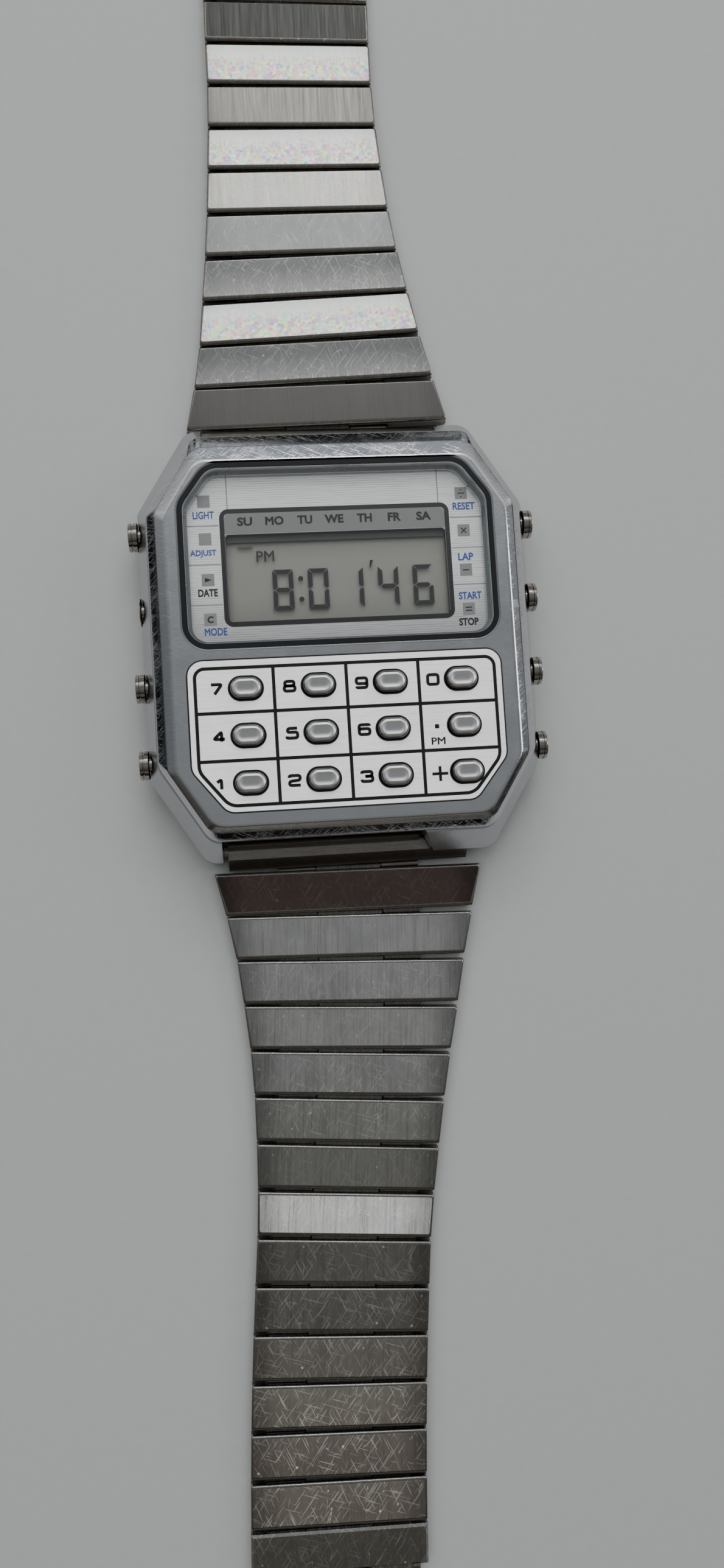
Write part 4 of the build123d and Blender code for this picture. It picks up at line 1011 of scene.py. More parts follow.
@dataclass
class Bezel:
    """Chrome bezel: two polished facets, a satin flat, the window and the key plate seat.

    The insets of the stacked outlines are of sides, top, bottom, upper and lower slants.
    """

    case: Outline = Outline(18.0, 20.0, -20.0, (4.9, 7.8), (4.9, 7.8), 1.8, 1.8,
                            shrinks=False)
    window: Outline = Outline(14.1, 15.35, -1.25, upper_cut=(2.6, 3.55), upper_radius=2.3,
                              lower_radius=2.2, steps=9)
    seat: Outline = Outline(13.97, -2.25, -15.7, lower_cut=(2.97, 3.75), upper_radius=1.4,
                            lower_radius=1.4)
    foot_z: float = 6.8
    wall_z: float = 7.95
    lean: float = 0.05
    facet_z: float = 8.6
    top_z: float = 9.0
    foot: tuple[float, ...] = (1.07, 1.82, 1.82, 1.37, 1.37)
    facet: tuple[float, ...] = (1.9, 3.05, 2.55, 2.14, 1.84)
    flat: tuple[float, ...] = (2.65, 4.45, 3.1, 3.05, 2.44)
    cavity: tuple[float, ...] = (3.0, 4.3, 3.7, 3.55, 3.55)
    hold: float = 0.2
    hold_step: float = 0.05
    edge: float = 0.16
    mouth_edge: float = 0.06
    lip: float = 0.12
    ledge: float = 0.8
    seal: float = 0.46
    glass_edge: float = 0.04
    glass_lift: float = 0.01
    ledge_z: float = 8.0
    ceiling_z: float = 7.5
    floor_z: float = 7.6
    seat_z: float = 8.7
    keypad_wall: float = 0.35
    keypad_side: float = 12.4
    keypad_radius: float = 0.3

    def build(self, holes: Sequence[Array]) -> list[bpy.types.Object]:
        """Makes the bezel: stacked loops outside, and walls down into its openings.

        Args:
            holes: flat outlines of the key holes.
        Returns:
            The crystal's ground edge and the bezel.
        """
        case, shell = self.case, Shell()
        flat, polished, inner_wall, seat_wall = range(4)
        foot = case.loop(self.foot, self.foot_z)
        wall = case.loop([v + self.lean for v in self.foot], self.wall_z)
        line = case.loop(self.facet, self.facet_z)
        rim = case.loop(self.flat, self.top_z)
        hold = case.loop([v + self.hold for v in self.flat], self.top_z)
        inner = case.loop([v + self.hold + self.hold_step for v in self.flat], self.top_z)
        shell.grid(np.concatenate([
            foot[None], soften(foot, wall, line, self.edge / 2),
            soften(wall, line, rim, self.edge / 2), soften(line, rim, inner, self.edge),
            hold[None]]), polished)
        # Window: a small round, the wall to the ledge, the ledge and its inner wall
        far, wall_top = (self.window.loop(inset, self.top_z) for inset in (-self.hold, 0))
        ledge = self.window.loop(0, self.ledge_z)
        mouth, under = (self.window.loop(self.ledge, z)
                        for z in (self.ledge_z, self.ceiling_z))
        shell.grid(np.concatenate([
            far[None], soften(far, wall_top, ledge, self.mouth_edge, 3), ledge[None],
            mouth[None], under[None]]), inner_wall)
        # Seat of the key plate, with a rounded lip
        lip, seat_top = (self.seat.loop(inset, self.top_z) for inset in (-self.lip, 0))
        seat = self.seat.loop(0, self.seat_z)
        turned = soften(lip, seat_top, seat, self.mouth_edge, 3)
        shell.grid(np.concatenate([lip[None], turned]), polished)
        # The seat's wall takes a dark finish: painted shade
        shell.grid(np.stack([turned[-1], seat]), seat_wall)
        shell.cap([hold, far, lip], flat)
        shell.cap([seat, *(raised(hole, self.seat_z) for hole in holes)], inner_wall)
        for hole in holes:
            shell.grid(np.stack([raised(hole, self.seat_z), raised(hole, self.floor_z)]),
                       inner_wall)
        # Hollow underside
        box = rounded(rect(-self.keypad_side, self.keypad_side,
                           self.seat.bottom + self.keypad_wall,
                           self.seat.top - self.keypad_wall), self.keypad_radius, 3)
        floor, roof = raised(box, self.floor_z), raised(box, self.ceiling_z)
        shell.cap([floor, *(raised(hole, self.floor_z) for hole in holes)], inner_wall)
        shell.grid(np.stack([floor, roof]), inner_wall)
        ceiling, skirt = (case.loop(self.cavity, z) for z in (self.ceiling_z, self.foot_z))
        shell.cap([ceiling, under, roof], inner_wall)
        shell.grid(np.stack([ceiling, skirt]), inner_wall)
        shell.cap([foot, skirt], inner_wall)
        glass = Shell()
        glass.prism([self.window.loop(inset)[:, :2]
                     for inset in (self.seal, self.seal + self.glass_edge)],
                    self.ledge_z + self.glass_lift, self.top_z)
        return [glass.piece("crystal_edge", [GLASS_EDGE], "head", "crystal_glass"),
                shell.piece("bezel_ring", [FLAT_CHROME, POLISHED_CHROME, INNER_WALL,
                                           SEAT_SHADE], "head", "bezel_chrome", "bezel")]


@dataclass
class Keypad:
    """Twelve round-ended keys, the printed grid and the key legends."""

    pitch: Point = (6.38, 4.1567)
    centre: Point = (0.69, -9.01)
    length: float = 2.8
    width: float = 1.9
    gap: float = 0.11
    flange: float = 0.35
    flange_z: Point = (7.1, 7.55)
    shoulder_z: float = 9.34
    shoulder: float = 0.36
    top_z: float = 9.72
    crown_rise: float = 0.05
    crown: tuple[Point, ...] = ((0.37, 0.03), (0.41, 0.038), (0.5, 0.06), (0.62, 0.084),
                                (0.76, 0.1))
    plate_z: float = 9.1
    print_depth: float = 0.01
    print_height: float = 0.012
    over: float = 0.001
    grid: Outline = Outline(13.3, -3.0, -15.1, lower_cut=(2.5, 3.1), upper_radius=0.85,
                            lower_radius=1.5, steps=10)
    line: float = 0.3
    grid_rows: Point = (-6.95, -11.16)
    grid_columns: tuple[float, ...] = (-6.43, 0.0, 6.43)
    legend: Point = (1.22, 1.14)
    legend_shift: float = 2.56
    legend_radius: float = 0.22
    stroke: float = 0.28
    plus: Point = (0.71, 0.66)
    plus_shift: Point = (-2.44, -0.1)
    plus_stroke: float = 0.26
    dot: Point = (0.19, 0.19)
    dot_shift: Point = (-2.46, -0.04)
    word_size: Point = (1.25, 0.64)
    word_bold: float = 0.02
    word_shift: Point = (-2.41, -1.34)
    # Painted shade in the gaps: a black line in the groove round the key plate and a black ring
    # round each key hole
    groove: Point = (-0.07, 0.03)
    groove_lift: float = 0.01
    rim: Point = (0.16, -0.12)
    rim_depth: float = 0.2
    names: tuple[tuple[str, ...], ...] = (
        ("key_7", "key_8", "key_9", "key_0"),
        ("key_4", "key_5", "key_6", "key_point"),
        ("key_1", "key_2", "key_3", "key_plus"),
    )

    def centres(self) -> dict[str, Point]:
        """Centre of each key.

        Returns:
            Its X and Y by its node's name.
        """
        return {name: (self.centre[0] + (column - (len(names) - 1) / 2) * self.pitch[0],
                       self.centre[1] - (row - (len(self.names) - 1) / 2) * self.pitch[1])
                for row, names in enumerate(self.names) for column, name in enumerate(names)}

    def outlines(self, grown: float) -> list[Array]:
        """Outlines of the twelve keys, made larger in length and width."""
        return [stadium(x, y, self.length + grown, self.width + grown)
                for x, y in self.centres().values()]

    def key(self, x: float, y: float) -> Shell:
        """One key as stacked slot outlines.

        Above the shoulder the inset follows r (1 - cos a) and the height r sin a, and the
        satin crown is then dished towards its middle.

        Args:
            x: the key's centre in X.
            y: the key's centre in Y.
        Returns:
            The closed key.
        """
        low, high = self.flange_z
        rise = self.top_z - self.shoulder_z - self.crown_rise
        profile = [(-self.flange, low), (-self.flange, high), (0.0, high),
                   (0.0, self.shoulder_z)]
        profile += [(self.shoulder * (1 - math.cos(a)), self.shoulder_z + rise * math.sin(a))
                    for a in np.radians(np.linspace(12, 84, 7))]
        profile += [(inset, self.top_z - drop) for inset, drop in self.crown]
        rows = [raised(stadium(x, y, self.length - 2 * i, self.width - 2 * i), z)
                for i, z in profile]
        shell = Shell()
        shell.grid(np.stack(rows))
        shell.cap([rows[0]])
        shell.cap([rows[-1]])
        return shell

    def glyphs(self) -> dict[str, list[tuple[list[Point], bool]]]:
        """Strokes of the wide square numerals in a unit box.

        Returns:
            Each key's strokes: their corners, and whether they close.
        """
        return {
            "key_0": [([(0, 0), (1, 0), (1, 1), (0, 1)], True)],
            "key_1": [([(0.1, 0.7), (0.5, 1), (0.5, 0)], False)],
            "key_2": [([(0, 0.78), (0, 1), (1, 1), (1, 0.52), (0, 0.42), (0, 0), (1.02, 0)],
                       False)],
            "key_3": [([(0, 0.8), (0, 1), (0.95, 1), (0.95, 0.52), (0.3, 0.52)], False),
                      ([(0.3, 0.52), (1, 0.52), (1, 0), (0, 0), (0, 0.22)], False)],
            "key_4": [([(0.74, 0), (0.74, 1), (0, 0.24), (1.03, 0.24)], False)],
            "key_5": [([(0.98, 1), (0.1, 1), (0.06, 0.6), (1, 0.6), (1, 0), (0, 0),
                        (0, 0.2)], False)],
            "key_6": [([(0.96, 0.84), (0.96, 1), (0, 1), (0, 0), (1, 0), (1, 0.58),
                        (0, 0.58)], False)],
            "key_7": [([(0, 1), (1, 1), (0.3, 0)], False)],
            "key_8": [([(0, 0), (1, 0), (1, 0.53), (0, 0.53)], True),
                      ([(0.07, 0.53), (0.93, 0.53), (0.93, 1), (0.07, 1)], True)],
            "key_9": [([(0.04, 0.16), (0.04, 0), (1, 0), (1, 1), (0, 1), (0, 0.42),
                        (1, 0.42)], False)],
        }

    def grid_lines(self, low: float, high: float) -> Shell:
        """The printed frame with its slanted corners, three columns and two rows.

        Args:
            low: lower height of the ink.
            high: upper height of the ink.
        Returns:
            The lines.
        """
        shell, grid, half = Shell(), self.grid, self.line / 2
        ribbon(shell, grid.loop(0)[:, :2], self.line, low, high, True)
        for x in self.grid_columns:
            path = np.array([(x, grid.bottom + half), (x, grid.top - half)])
            ribbon(shell, path, self.line, low, high)
        for y in self.grid_rows:
            path = np.array([(half - grid.side, y), (grid.side - half, y)])
            ribbon(shell, path, self.line, low, high + self.over)
        return shell

    def legends(self, low: float, high: float) -> Shell:
        """The numerals, the plus sign, the point and its small word.

        Args:
            low: lower height of the ink.
            high: upper height of the ink.
        Returns:
            The legends.
        """
        shell, places = Shell(), self.centres()
        size = np.array(self.legend)
        for name, strokes in self.glyphs().items():
            corner = places[name] - np.array([self.legend_shift, 0]) - size / 2
            for points, closed in strokes:
                line = smooth_path(np.array(points) * (size - self.stroke),
                                   self.legend_radius, closed)
                ribbon(shell, line + corner + self.stroke / 2, self.stroke, low, high,
                       closed)
        for run in ((self.plus[0], 0.0), (0.0, self.plus[1])):
            line = np.array([(-run[0], -run[1]), run]) + self.plus_shift
            ribbon(shell, line + places["key_plus"], self.plus_stroke, low,
                   high + (self.over if run[0] else 0))
        x, y = places["key_point"]
        dot = boxed(x + self.dot_shift[0], y + self.dot_shift[1], self.dot)
        shell.prism([np.array(dot)], low, high)
        lettering(shell, "PM", (x + self.word_shift[0], y + self.word_shift[1]),
                  self.word_size, low, high, self.word_bold)
        return shell

    def gap_shade(self) -> Shell:
        """Black lines of painted shade in the gaps around the key plate and the keys.

        Returns:
            The lines.
        """
        shell, bezel = Shell(), Bezel()
        shell.prism([bezel.seat.loop(inset)[:, :2] for inset in self.groove],
                    bezel.seat_z + self.groove_lift, bezel.top_z + self.print_height)
        for rings in zip(*(self.outlines(2 * self.gap + size) for size in self.rim)):
            shell.prism(rings, self.plate_z - self.rim_depth,
                        self.plate_z + self.print_height)
        return shell

    def build(self) -> list[bpy.types.Object]:
        """Makes the keys, the grid lines, the legends and the painted gap shade.

        Returns:
            The pieces.
        """
        low, high = self.plate_z - self.print_depth, self.plate_z + self.print_height
        keys = [self.key(x, y).piece(f"{name}_cap", [KEYS], name, "key_chrome", name)
                for name, (x, y) in self.centres().items()]
        prints = [shell.piece(name, [BLACK_INK_AND_SHADE], "head", "seal_black") for name, shell in (
            ("key_grid_print", self.grid_lines(low, high)),
            ("key_legend_print", self.legends(low, high)),
            ("key_plate_groove", self.gap_shade()))]
        return keys + prints


@dataclass
class Dial:
    """Dial print, display with its segments, and the glass over them.

    The tables hold each printed word or sign with its centre, and its size where it has one.
    """

    dial_z: float = 7.45
    print_depth: float = 0.008
    print_height: float = 0.012
    layer: float = 0.004
    sign_layer: float = 0.0005
    film: float = 0.001
    frame: tuple[float, ...] = (-10.22, 10.22, 1.14, 11.42)
    frame_line: float = 0.42
    frame_radius: float = 0.62
    band_radii: Point = (0.05, 0.5)
    band_lift: float = 0.02
    opening: tuple[float, ...] = (-10.0, 10.0, 1.33, 9.3)
    opening_radius: float = 0.12
    square: Point = (0.56, 0.56)
    hairline: float = 0.09
    sign_line: float = 0.11
    separators: tuple[float, ...] = (-9.66, 9.5)
    separator_y: Point = (0.14, 14.9)
    day_y: float = 10.44
    day_size: Point = (1.36, 0.8)
    days: tuple[tuple[str, float], ...] = (
        ("SU", -8.16), ("MO", -5.49), ("TU", -2.75), ("WE", -0.1), ("TH", 2.67),
        ("FR", 5.4), ("SA", 8.09))
    day_widths: dict[str, float] = field(
        default_factory=lambda: {"MO": 1.66, "WE": 1.72, "FR": 1.2})
    squares: tuple[Point, ...] = (
        (-11.75, 12.38), (-11.77, 8.95), (-11.7, 5.25), (-11.67, 1.67),
        (11.65, 12.42), (11.7, 8.96), (11.68, 5.3), (11.71, 1.7))
    rules: tuple[tuple[float, float, float], ...] = (
        (-13.5, -10.5, 10.16), (-13.5, -10.5, 6.63), (-13.5, -10.5, 2.99),
        (10.5, 13.6, 10.2), (10.5, 13.6, 7.37), (10.5, 13.6, 3.98))
    word_height: float = 0.7
    blue_bold: float = 0.03
    blue_words: tuple[tuple[str, float, float, float], ...] = (
        ("LIGHT", -11.82, 11.13, 1.9), ("ADJUST", -12.0, 7.63, 2.35),
        ("MODE", -11.24, 0.56, 2.0), ("RESET", 11.85, 11.22, 2.05),
        ("LAP", 11.73, 6.53, 1.4), ("START", 11.91, 2.93, 2.1))
    black_words: tuple[tuple[str, float, float, float], ...] = (
        ("DATE", -11.76, 4.09, 1.75), ("STOP", 11.63, 0.53, 1.8))
    clear_size: Point = (0.55, 0.62)
    arrow: tuple[Point, ...] = ((-0.28, -0.2), (0.34, 0.0), (-0.28, 0.2))
    signs: dict[int, tuple[tuple[Point, Point], ...]] = field(default_factory=lambda: {
        4: (((-0.3, 0), (0.3, 0)), ((-0.07, 0.32), (0.07, 0.32)),
            ((-0.07, -0.32), (0.07, -0.32))),
        5: (((-0.24, -0.24), (0.24, 0.24)), ((-0.24, 0.24), (0.24, -0.24))),
        6: (((-0.28, 0), (0.28, 0)),),
        7: (((-0.3, 0.14), (0.3, 0.14)), ((-0.3, -0.14), (0.3, -0.14)))})
    lcd: tuple[float, ...] = (-11.2, 11.2, 0.0, 12.0)
    lcd_radius: float = 0.1
    reflector_z: Point = (5.85, 6.5)
    glass_z: Point = (6.52, 6.88)
    segment_z: Point = (6.884, 6.9)
    digit: Point = (1.86, 3.72)
    digit_y: float = 4.23
    bar: float = 0.41
    bar_gap: float = 0.055
    lit: tuple[tuple[str, float], ...] = (
        ("abcdefg", -5.01), ("abcdef", -1.82), ("bc", 1.36), ("bcfg", 4.57),
        ("acdefg", 7.76))
    colon: tuple[float, ...] = (-3.4, 5.22, 3.33)
    colon_radius: float = 0.23
    tick: tuple[Point, ...] = ((2.92, 5.98), (3.02, 5.98), (3.28, 6.68), (2.98, 6.68))
    half_day: Point = (-6.48, 7.37)
    half_day_size: Point = (1.6, 0.98)
    half_day_bold: float = 0.008
    shadow: Point = (0.62, 0.5)
    faint: tuple[float, ...] = (-8.95, -7.6, 8.2, 8.52)
    cut_edge: float = 0.05
    cut_edge_lift: float = 0.02

    def prints(self) -> list[bpy.types.Object]:
        """Frame line, day band, label squares, separators and the function words.

        Returns:
            One piece for each ink.
        """
        low, high = self.dial_z - self.print_depth, self.dial_z + self.print_height
        left, right, bottom, top = self.frame
        half, over = self.frame_line / 2, high + self.layer
        black, blue, grey, band = (Shell() for _ in range(4))
        ribbon(black, rounded(rect(left, right, bottom, top), self.frame_radius, 8),
               self.frame_line, low, high, True)
        strip = rect(left + half, right - half, self.opening[3] + self.band_lift, top - half)
        square, round_ = self.band_radii
        band.prism([rounded(strip, (square, square, round_, round_), 6)], low,
                   high - self.layer)
        for text, x in self.days:
            width = self.day_widths.get(text, self.day_size[0])
            lettering(black, text, (x, self.day_y), (width, self.day_size[1]), low, over)
        for x, y in self.squares:
            grey.prism([np.array(boxed(x, y, self.square))], low, high - self.layer)
        lines = [((x, y), (end, y)) for x, end, y in self.rules]
        lines += [((x, top + self.separator_y[0]), (x, self.separator_y[1]))
                  for x in self.separators]
        for line in lines:
            ribbon(grey, np.array(line), self.hairline, low, high)
        for text, x, y, width in self.blue_words:
            lettering(blue, text, (x, y), (width, self.word_height), low, over,
                      self.blue_bold)
        for text, x, y, width in self.black_words:
            lettering(black, text, (x, y), (width, self.word_height), low, over)
        lettering(black, "C", self.squares[3], self.clear_size, low, over)
        black.prism([np.array(self.arrow) + self.squares[2]], low, over)
        for place, strokes in self.signs.items():
            for number, line in enumerate(strokes):
                ribbon(black, np.array(line) + self.squares[place], self.sign_line, low,
                       over + number * self.sign_layer)
        return [shell.piece(name, [ink], "head", "dial_silver") for shell, name, ink in (
            (black, "dial_print_black", BLACK_INK_AND_SHADE), (blue, "dial_print_blue", BLUE_INK),
            (grey, "dial_print_grey", GREY_INK), (band, "day_band_print", BAND_INK))]

    def segments(self) -> Shell:
        """The display's digits: seven bars each, mitred with a thin gap.

        Returns:
            The lit bars, the colon, the tick and the half-day sign.
        """
        shell = Shell()
        thick, gap = self.bar, self.bar_gap
        w, h = self.digit[0] / 2, self.digit[1] / 2
        low, high = self.segment_z
        top = [(gap - w, h), (thick + gap / 2 - w, h - thick), (w - thick - gap / 2, h - thick),
               (w - gap, h)]
        side = [(w, h - gap), (w - thick, h - thick - gap / 2), (w - thick, thick / 2 + gap),
                (w - thick / 3, gap), (w, gap + thick / 4)]
        middle = [(thick / 2 + gap - w, 0), (thick + gap - w, -thick / 2),
                  (w - thick - gap, -thick / 2), (w - thick / 2 - gap, 0),
                  (w - thick - gap, thick / 2), (thick + gap - w, thick / 2)]
        bars = {letter: np.array(shape) * way for letter, shape, way in (
            ("a", top, (1, 1)), ("b", side, (1, 1)), ("c", side, (1, -1)),
            ("d", top, (1, -1)), ("e", side, (-1, -1)), ("f", side, (-1, 1)),
            ("g", middle, (1, 1)))}
        for code, x in self.lit:
            for letter in code:
                shell.prism([bars[letter] + (x, self.digit_y)], low, high)
        for y in self.colon[1:]:
            shell.prism([circle(self.colon[0], y, self.colon_radius, 20)], low, high)
        shell.prism([np.array(self.tick)], low, high)
        lettering(shell, "PM", self.half_day, self.half_day_size, low, high,
                  self.half_day_bold)
        return shell

    def border(self) -> Shell:
        """The frame's painted shadow on the display, a faint mark and the dial's dark cut edge.

        Returns:
            The three, each with its own material.
        """
        shell = Shell()
        left, right, bottom, top = self.opening
        high = self.segment_z[1]
        below, above = self.shadow
        # Painted shadow: a dark strip across the display's top, where the dial's edge shades it
        shell.prism([np.array(rect(left - self.lcd_radius, right + self.lcd_radius,
                                   top - below, top + above))],
                    self.segment_z[0], high - 2 * self.layer)
        shell.prism([np.array(rect(*self.faint))], high - 2 * self.layer - self.film, high, 1)
        shell.prism([rounded(rect(left + i, right - i, bottom + i, top - i),
                             self.opening_radius, 4) for i in (0.0, self.cut_edge)],
                    high + self.cut_edge_lift, self.dial_z, 2)
        return shell

    def build(self) -> list[bpy.types.Object]:
        """Makes the prints, the display plates and the segments.

        Returns:
            The pieces.
        """
        pieces = self.prints()
        box = [rounded(rect(*self.lcd), self.lcd_radius, 3)]
        back, sheet = Shell(), Shell()
        back.prism(box, *self.reflector_z)
        sheet.prism(box, *self.glass_z)
        return pieces + [
            back.piece("display_reflector_plate", [LCD_BACK], "head", "display_glass",
                       "lcd_panel"),
            sheet.piece("display_glass_plate", [LCD_GLASS], "head", "crystal_glass"),
            self.segments().piece("display_segments", [LCD_INK], "head", "display_glass"),
            self.border().piece("display_border", [LCD_SHADE, LCD_FAINT, BLACK_INK_AND_SHADE],
                                "head", "display_glass")]


@dataclass
class Pushers:
    """Eight turned pushers with a banded head, a stem and its clip."""

    rows: tuple[float, ...] = (10.32, 3.3, -3.72, -10.74)
    z: float = 3.8
    case_side: float = 18.0
    head_radius: float = 1.32
    inside: float = 0.5
    proud: Point = (0.82, 0.12)
    travel: Point = (0.7, 0.4)
    neck: float = 0.85
    neck_end: float = 0.1
    bevel: float = 0.04
    band: Point = (0.02, 0.1)
    stem_radius: float = 0.55
    tip_bevel: float = 0.1
    clip_radius: float = 1.05
    clip_place: float = 14.62
    clip_thickness: float = 0.28
    frame_side: float = 13.4
    contact: float = 0.15
    slack: float = 0.05
    face: tuple[Point, ...] = ((0.12, 0.0), (0.06, 0.02), (0.02, 0.07), (0.0, 0.22),
                               (0.0, 0.5), (0.03, 0.56), (0.03, 0.75), (0.0, 0.8))
    smooth: float = 30.0
    steps: int = 56
    flush: str = "pusher_adjust"
    names: tuple[tuple[str, ...], ...] = (
        ("pusher_light", "pusher_adjust", "pusher_date", "pusher_mode"),
        ("pusher_divide", "pusher_multiply", "pusher_minus", "pusher_equals"),
    )

    def profile(self, proud: float, travel: float) -> Array:
        """Radius along the axis, from the stem's tip to the head's face.

        Args:
            proud: how far the head stands out of the case.
            travel: how far the pusher can be pressed.
        Returns:
            An (n, 2) array of places along the axis and radii.
        """
        r, side, stem = self.head_radius, self.case_side, self.stem_radius
        tip = self.frame_side + self.contact + travel + self.slack
        start, stop = self.clip_place, self.clip_place + self.clip_thickness
        head, end = side - self.inside, side + proud
        rows = [(tip, 0.0), (tip, stem - self.tip_bevel), (tip + self.tip_bevel, stem),
                (start, stem),
                (start, self.clip_radius), (stop, self.clip_radius), (stop, stem),
                (head, stem), (head, self.neck), (side - self.neck_end, self.neck),
                (side - self.bevel, r - self.bevel), (side, r)]
        if proud > self.inside:
            step, (lip, deep) = side + proud * 0.5, self.band
            rows += [(step - 3 * lip, r), (step - lip, r - deep), (step + 3 * lip, r - deep),
                     (step + deep, r)]
        rows += [(end - back, r - less) for back, less in self.face] + [(end, 0.0)]
        return np.array(rows)

    def build(self) -> list[bpy.types.Object]:
        """Spins each profile about its pusher's axis: y + r cos a, z + r sin a.

        Returns:
            The eight pushers.
        """
        turn = np.linspace(0, 2 * math.pi, self.steps, endpoint=False)
        pieces = []
        for sign, names in zip((-1, 1), self.names):
            for y, name in zip(self.rows, names):
                kind = name == self.flush
                at, radius = np.hsplit(self.profile(self.proud[kind], self.travel[kind]), 2)
                shell = Shell()
                shell.grid(np.stack([sign * at * np.ones_like(turn),
                                     y + radius * np.cos(turn),
                                     self.z + radius * np.sin(turn)], axis=-1))
                pieces.append(shell.piece(f"{name}_button", [PUSHER], name, "pusher_steel",
                                          name, self.smooth))
        return pieces


# ---------------------------------------------------------------- the bracelet
class Side(Enum):
    """The two halves of the bracelet, each with the sign of its way along Y."""

    UPPER = 1
    LOWER = -1


@dataclass(frozen=True)
class LinkLook:
    """How one plate looks: its tone, painted as the light it reflects at its tilt, its gloss,
    wear and glints.
    """

    tone: str
    roughness: float = 0.24
    metallic: float = 1.0
    painted_highlight: float = 0.0
    speckle: float = 0.0
    scratches: float = 0.35
    depth: float = 0.75


@dataclass(frozen=True)
class Hinge:
    """Where a link starts: its origin and its directions across and along."""

    origin: Array
    across: Array
    along: Array
    yaw: float

    def place(self, local: Array) -> Array:
        """Turns (across, along, height) into the row frame."""
        return (self.origin + local[..., :1] * self.across + local[..., 1:2] * self.along
                + local[..., 2:] * np.array([0, 0, 1]))


@dataclass
class Bracelet:
    """Folded-sheet links with rolled edges, knuckles and pins, chained from the case.

    Roll radii are those of a plate's near and far edge; the yaws are the hinges' turns.
    """

    pitch: float = 4.25
    gap: float = 0.32
    height: float = 1.9
    skin: float = 0.55
    corner: float = 0.18
    side_roll: float = 0.2
    flat_start: float = 0.06
    overlap: float = 0.01
    set_back: float = 0.02
    flange: float = 0.45
    flange_gap: float = 0.55
    lip_bottom: float = 0.45
    lip_start: float = 6.85
    hinge_z: float = 0.65
    knuckle: float = 0.6
    knuckle_arc: Point = (75.0, 322.0)
    web_start: float = 0.8
    reach: float = 1.05
    middle: float = 3.0
    outer: float = 6.6
    knuckle_gap: float = 0.15
    pin: float = 0.33
    hole: float = 0.41
    start_y: float = 21.05
    band: float = 16.0
    wide: float = 25.1
    taper_shares: tuple[float, ...] = (1.0, 0.775, 0.58, 0.435, 0.29, 0.18, 0.1, 0.035)
    hinge_x: dict[Side, float] = field(
        default_factory=lambda: {Side.UPPER: -0.6, Side.LOWER: -0.2})
    yaws: dict[Side, tuple[float, ...]] = field(default_factory=lambda: {
        Side.UPPER: (1.1, 2.1, 2.7, 2.1, 1.3, 0.8, 0.4, 0.0, -0.4, -0.8, -1.2),
        Side.LOWER: (-1.1, -2.2, -3.2, -4.1, -4.9, -5.5, -5.8, -5.8, -5.7, -5.4, -4.9, -4.2,
                     -3.5, -2.9, -2.4)})
    rolls: dict[Side, Point] = field(
        default_factory=lambda: {Side.UPPER: (0.38, 0.12), Side.LOWER: (0.28, 0.34)})
    # Share by which each plate's two ends are painted darker, as shade
    ends: dict[Side, float] = field(
        default_factory=lambda: {Side.UPPER: 0.12, Side.LOWER: 0.45})
    edges: dict[Side, Finish] = field(
        default_factory=lambda: {Side.UPPER: LINK_EDGE, Side.LOWER: LOWER_EDGE})
    # Each plate's tone is painted light: pale where it mirrors the window, dark and brownish
    # where it mirrors the dim room
    looks: dict[Side, tuple[LinkLook, ...]] = field(default_factory=lambda: {
        Side.UPPER: (
            LinkLook("7E7C7A", 0.34, scratches=0.0, depth=0.3),
            LinkLook("939494", 0.2, painted_highlight=0.8, scratches=0.4, depth=0.5),
            LinkLook("FFFFF6", 0.24, 0.0, painted_highlight=0.8, speckle=0.95, depth=0.2),
            LinkLook("8F9090", 0.2, painted_highlight=0.7, scratches=0.4, depth=0.5),
            LinkLook("ABACAC", 0.22, painted_highlight=0.2, scratches=0.3, depth=0.4),
            LinkLook("EAE8E0", 0.32, painted_highlight=0.1, speckle=0.1, scratches=0.0, depth=0.3),
            LinkLook("FFFFF8", 0.24, 0.0, painted_highlight=0.6, speckle=0.95, depth=0.2),
            LinkLook("9B9994", 0.34, scratches=0.05, depth=0.3),
            LinkLook("FFFFF4", 0.24, 0.0, painted_highlight=0.6, speckle=0.95, depth=0.2),
            LinkLook("50504E", 0.34, scratches=0.0, depth=0.3)),
        Side.LOWER: (
            LinkLook("73625C", 0.26, scratches=0.12, depth=0.35),
            LinkLook("EEEDE9", scratches=0.1), LinkLook("EFEEEA", scratches=0.3),
            LinkLook("F4F3EE", scratches=0.2), LinkLook("E6E5E2"), LinkLook("D9D8D2"),
            LinkLook("CAC9C3", scratches=0.2),
            LinkLook("E8E8E5", 0.3, 0.5, speckle=0.1, scratches=0.6, depth=1.0),
            LinkLook("B4B1AC"), LinkLook("BBB7B2", scratches=0.5),
            LinkLook("D6CFC8", scratches=0.6, painted_highlight=0.15),
            LinkLook("F1EAE2", 0.2, scratches=0.9, painted_highlight=0.3),
            LinkLook("E7DED7", 0.2, scratches=0.9, painted_highlight=0.3),
            LinkLook("F3EBE4", 0.2, scratches=0.9, painted_highlight=0.35))})

    def width(self, hinge: int) -> float:
        """Width of the bracelet at a hinge, counted from the case."""
        share = self.taper_shares[hinge] if hinge < len(self.taper_shares) else 0.0
        return self.band + (self.wide - self.band) * share

    def half(self, number: int, at: float) -> float:
        """Half the width of a link, at a place along it."""
        near, far = self.width(number) / 2, self.width(number + 1) / 2
        return near + (far - near) * at / self.pitch

    def hinges(self, side: Side) -> list[Hinge]:
        """Chains the hinges of one half from the case, a pitch apart.

        Args:
            side: the half.
        Returns:
            Each hinge, with the one past the last link.
        """
        at = np.array([self.hinge_x[side], side.value * self.start_y, 0.0])
        found = []
        for yaw in self.yaws[side]:
            turn = math.radians(yaw)
            across = side.value * np.array([math.cos(turn), math.sin(turn), 0])
            along = side.value * np.array([-math.sin(turn), math.cos(turn), 0])
            found.append(Hinge(at, across, along, yaw))
            at = at + self.pitch * along
        return found

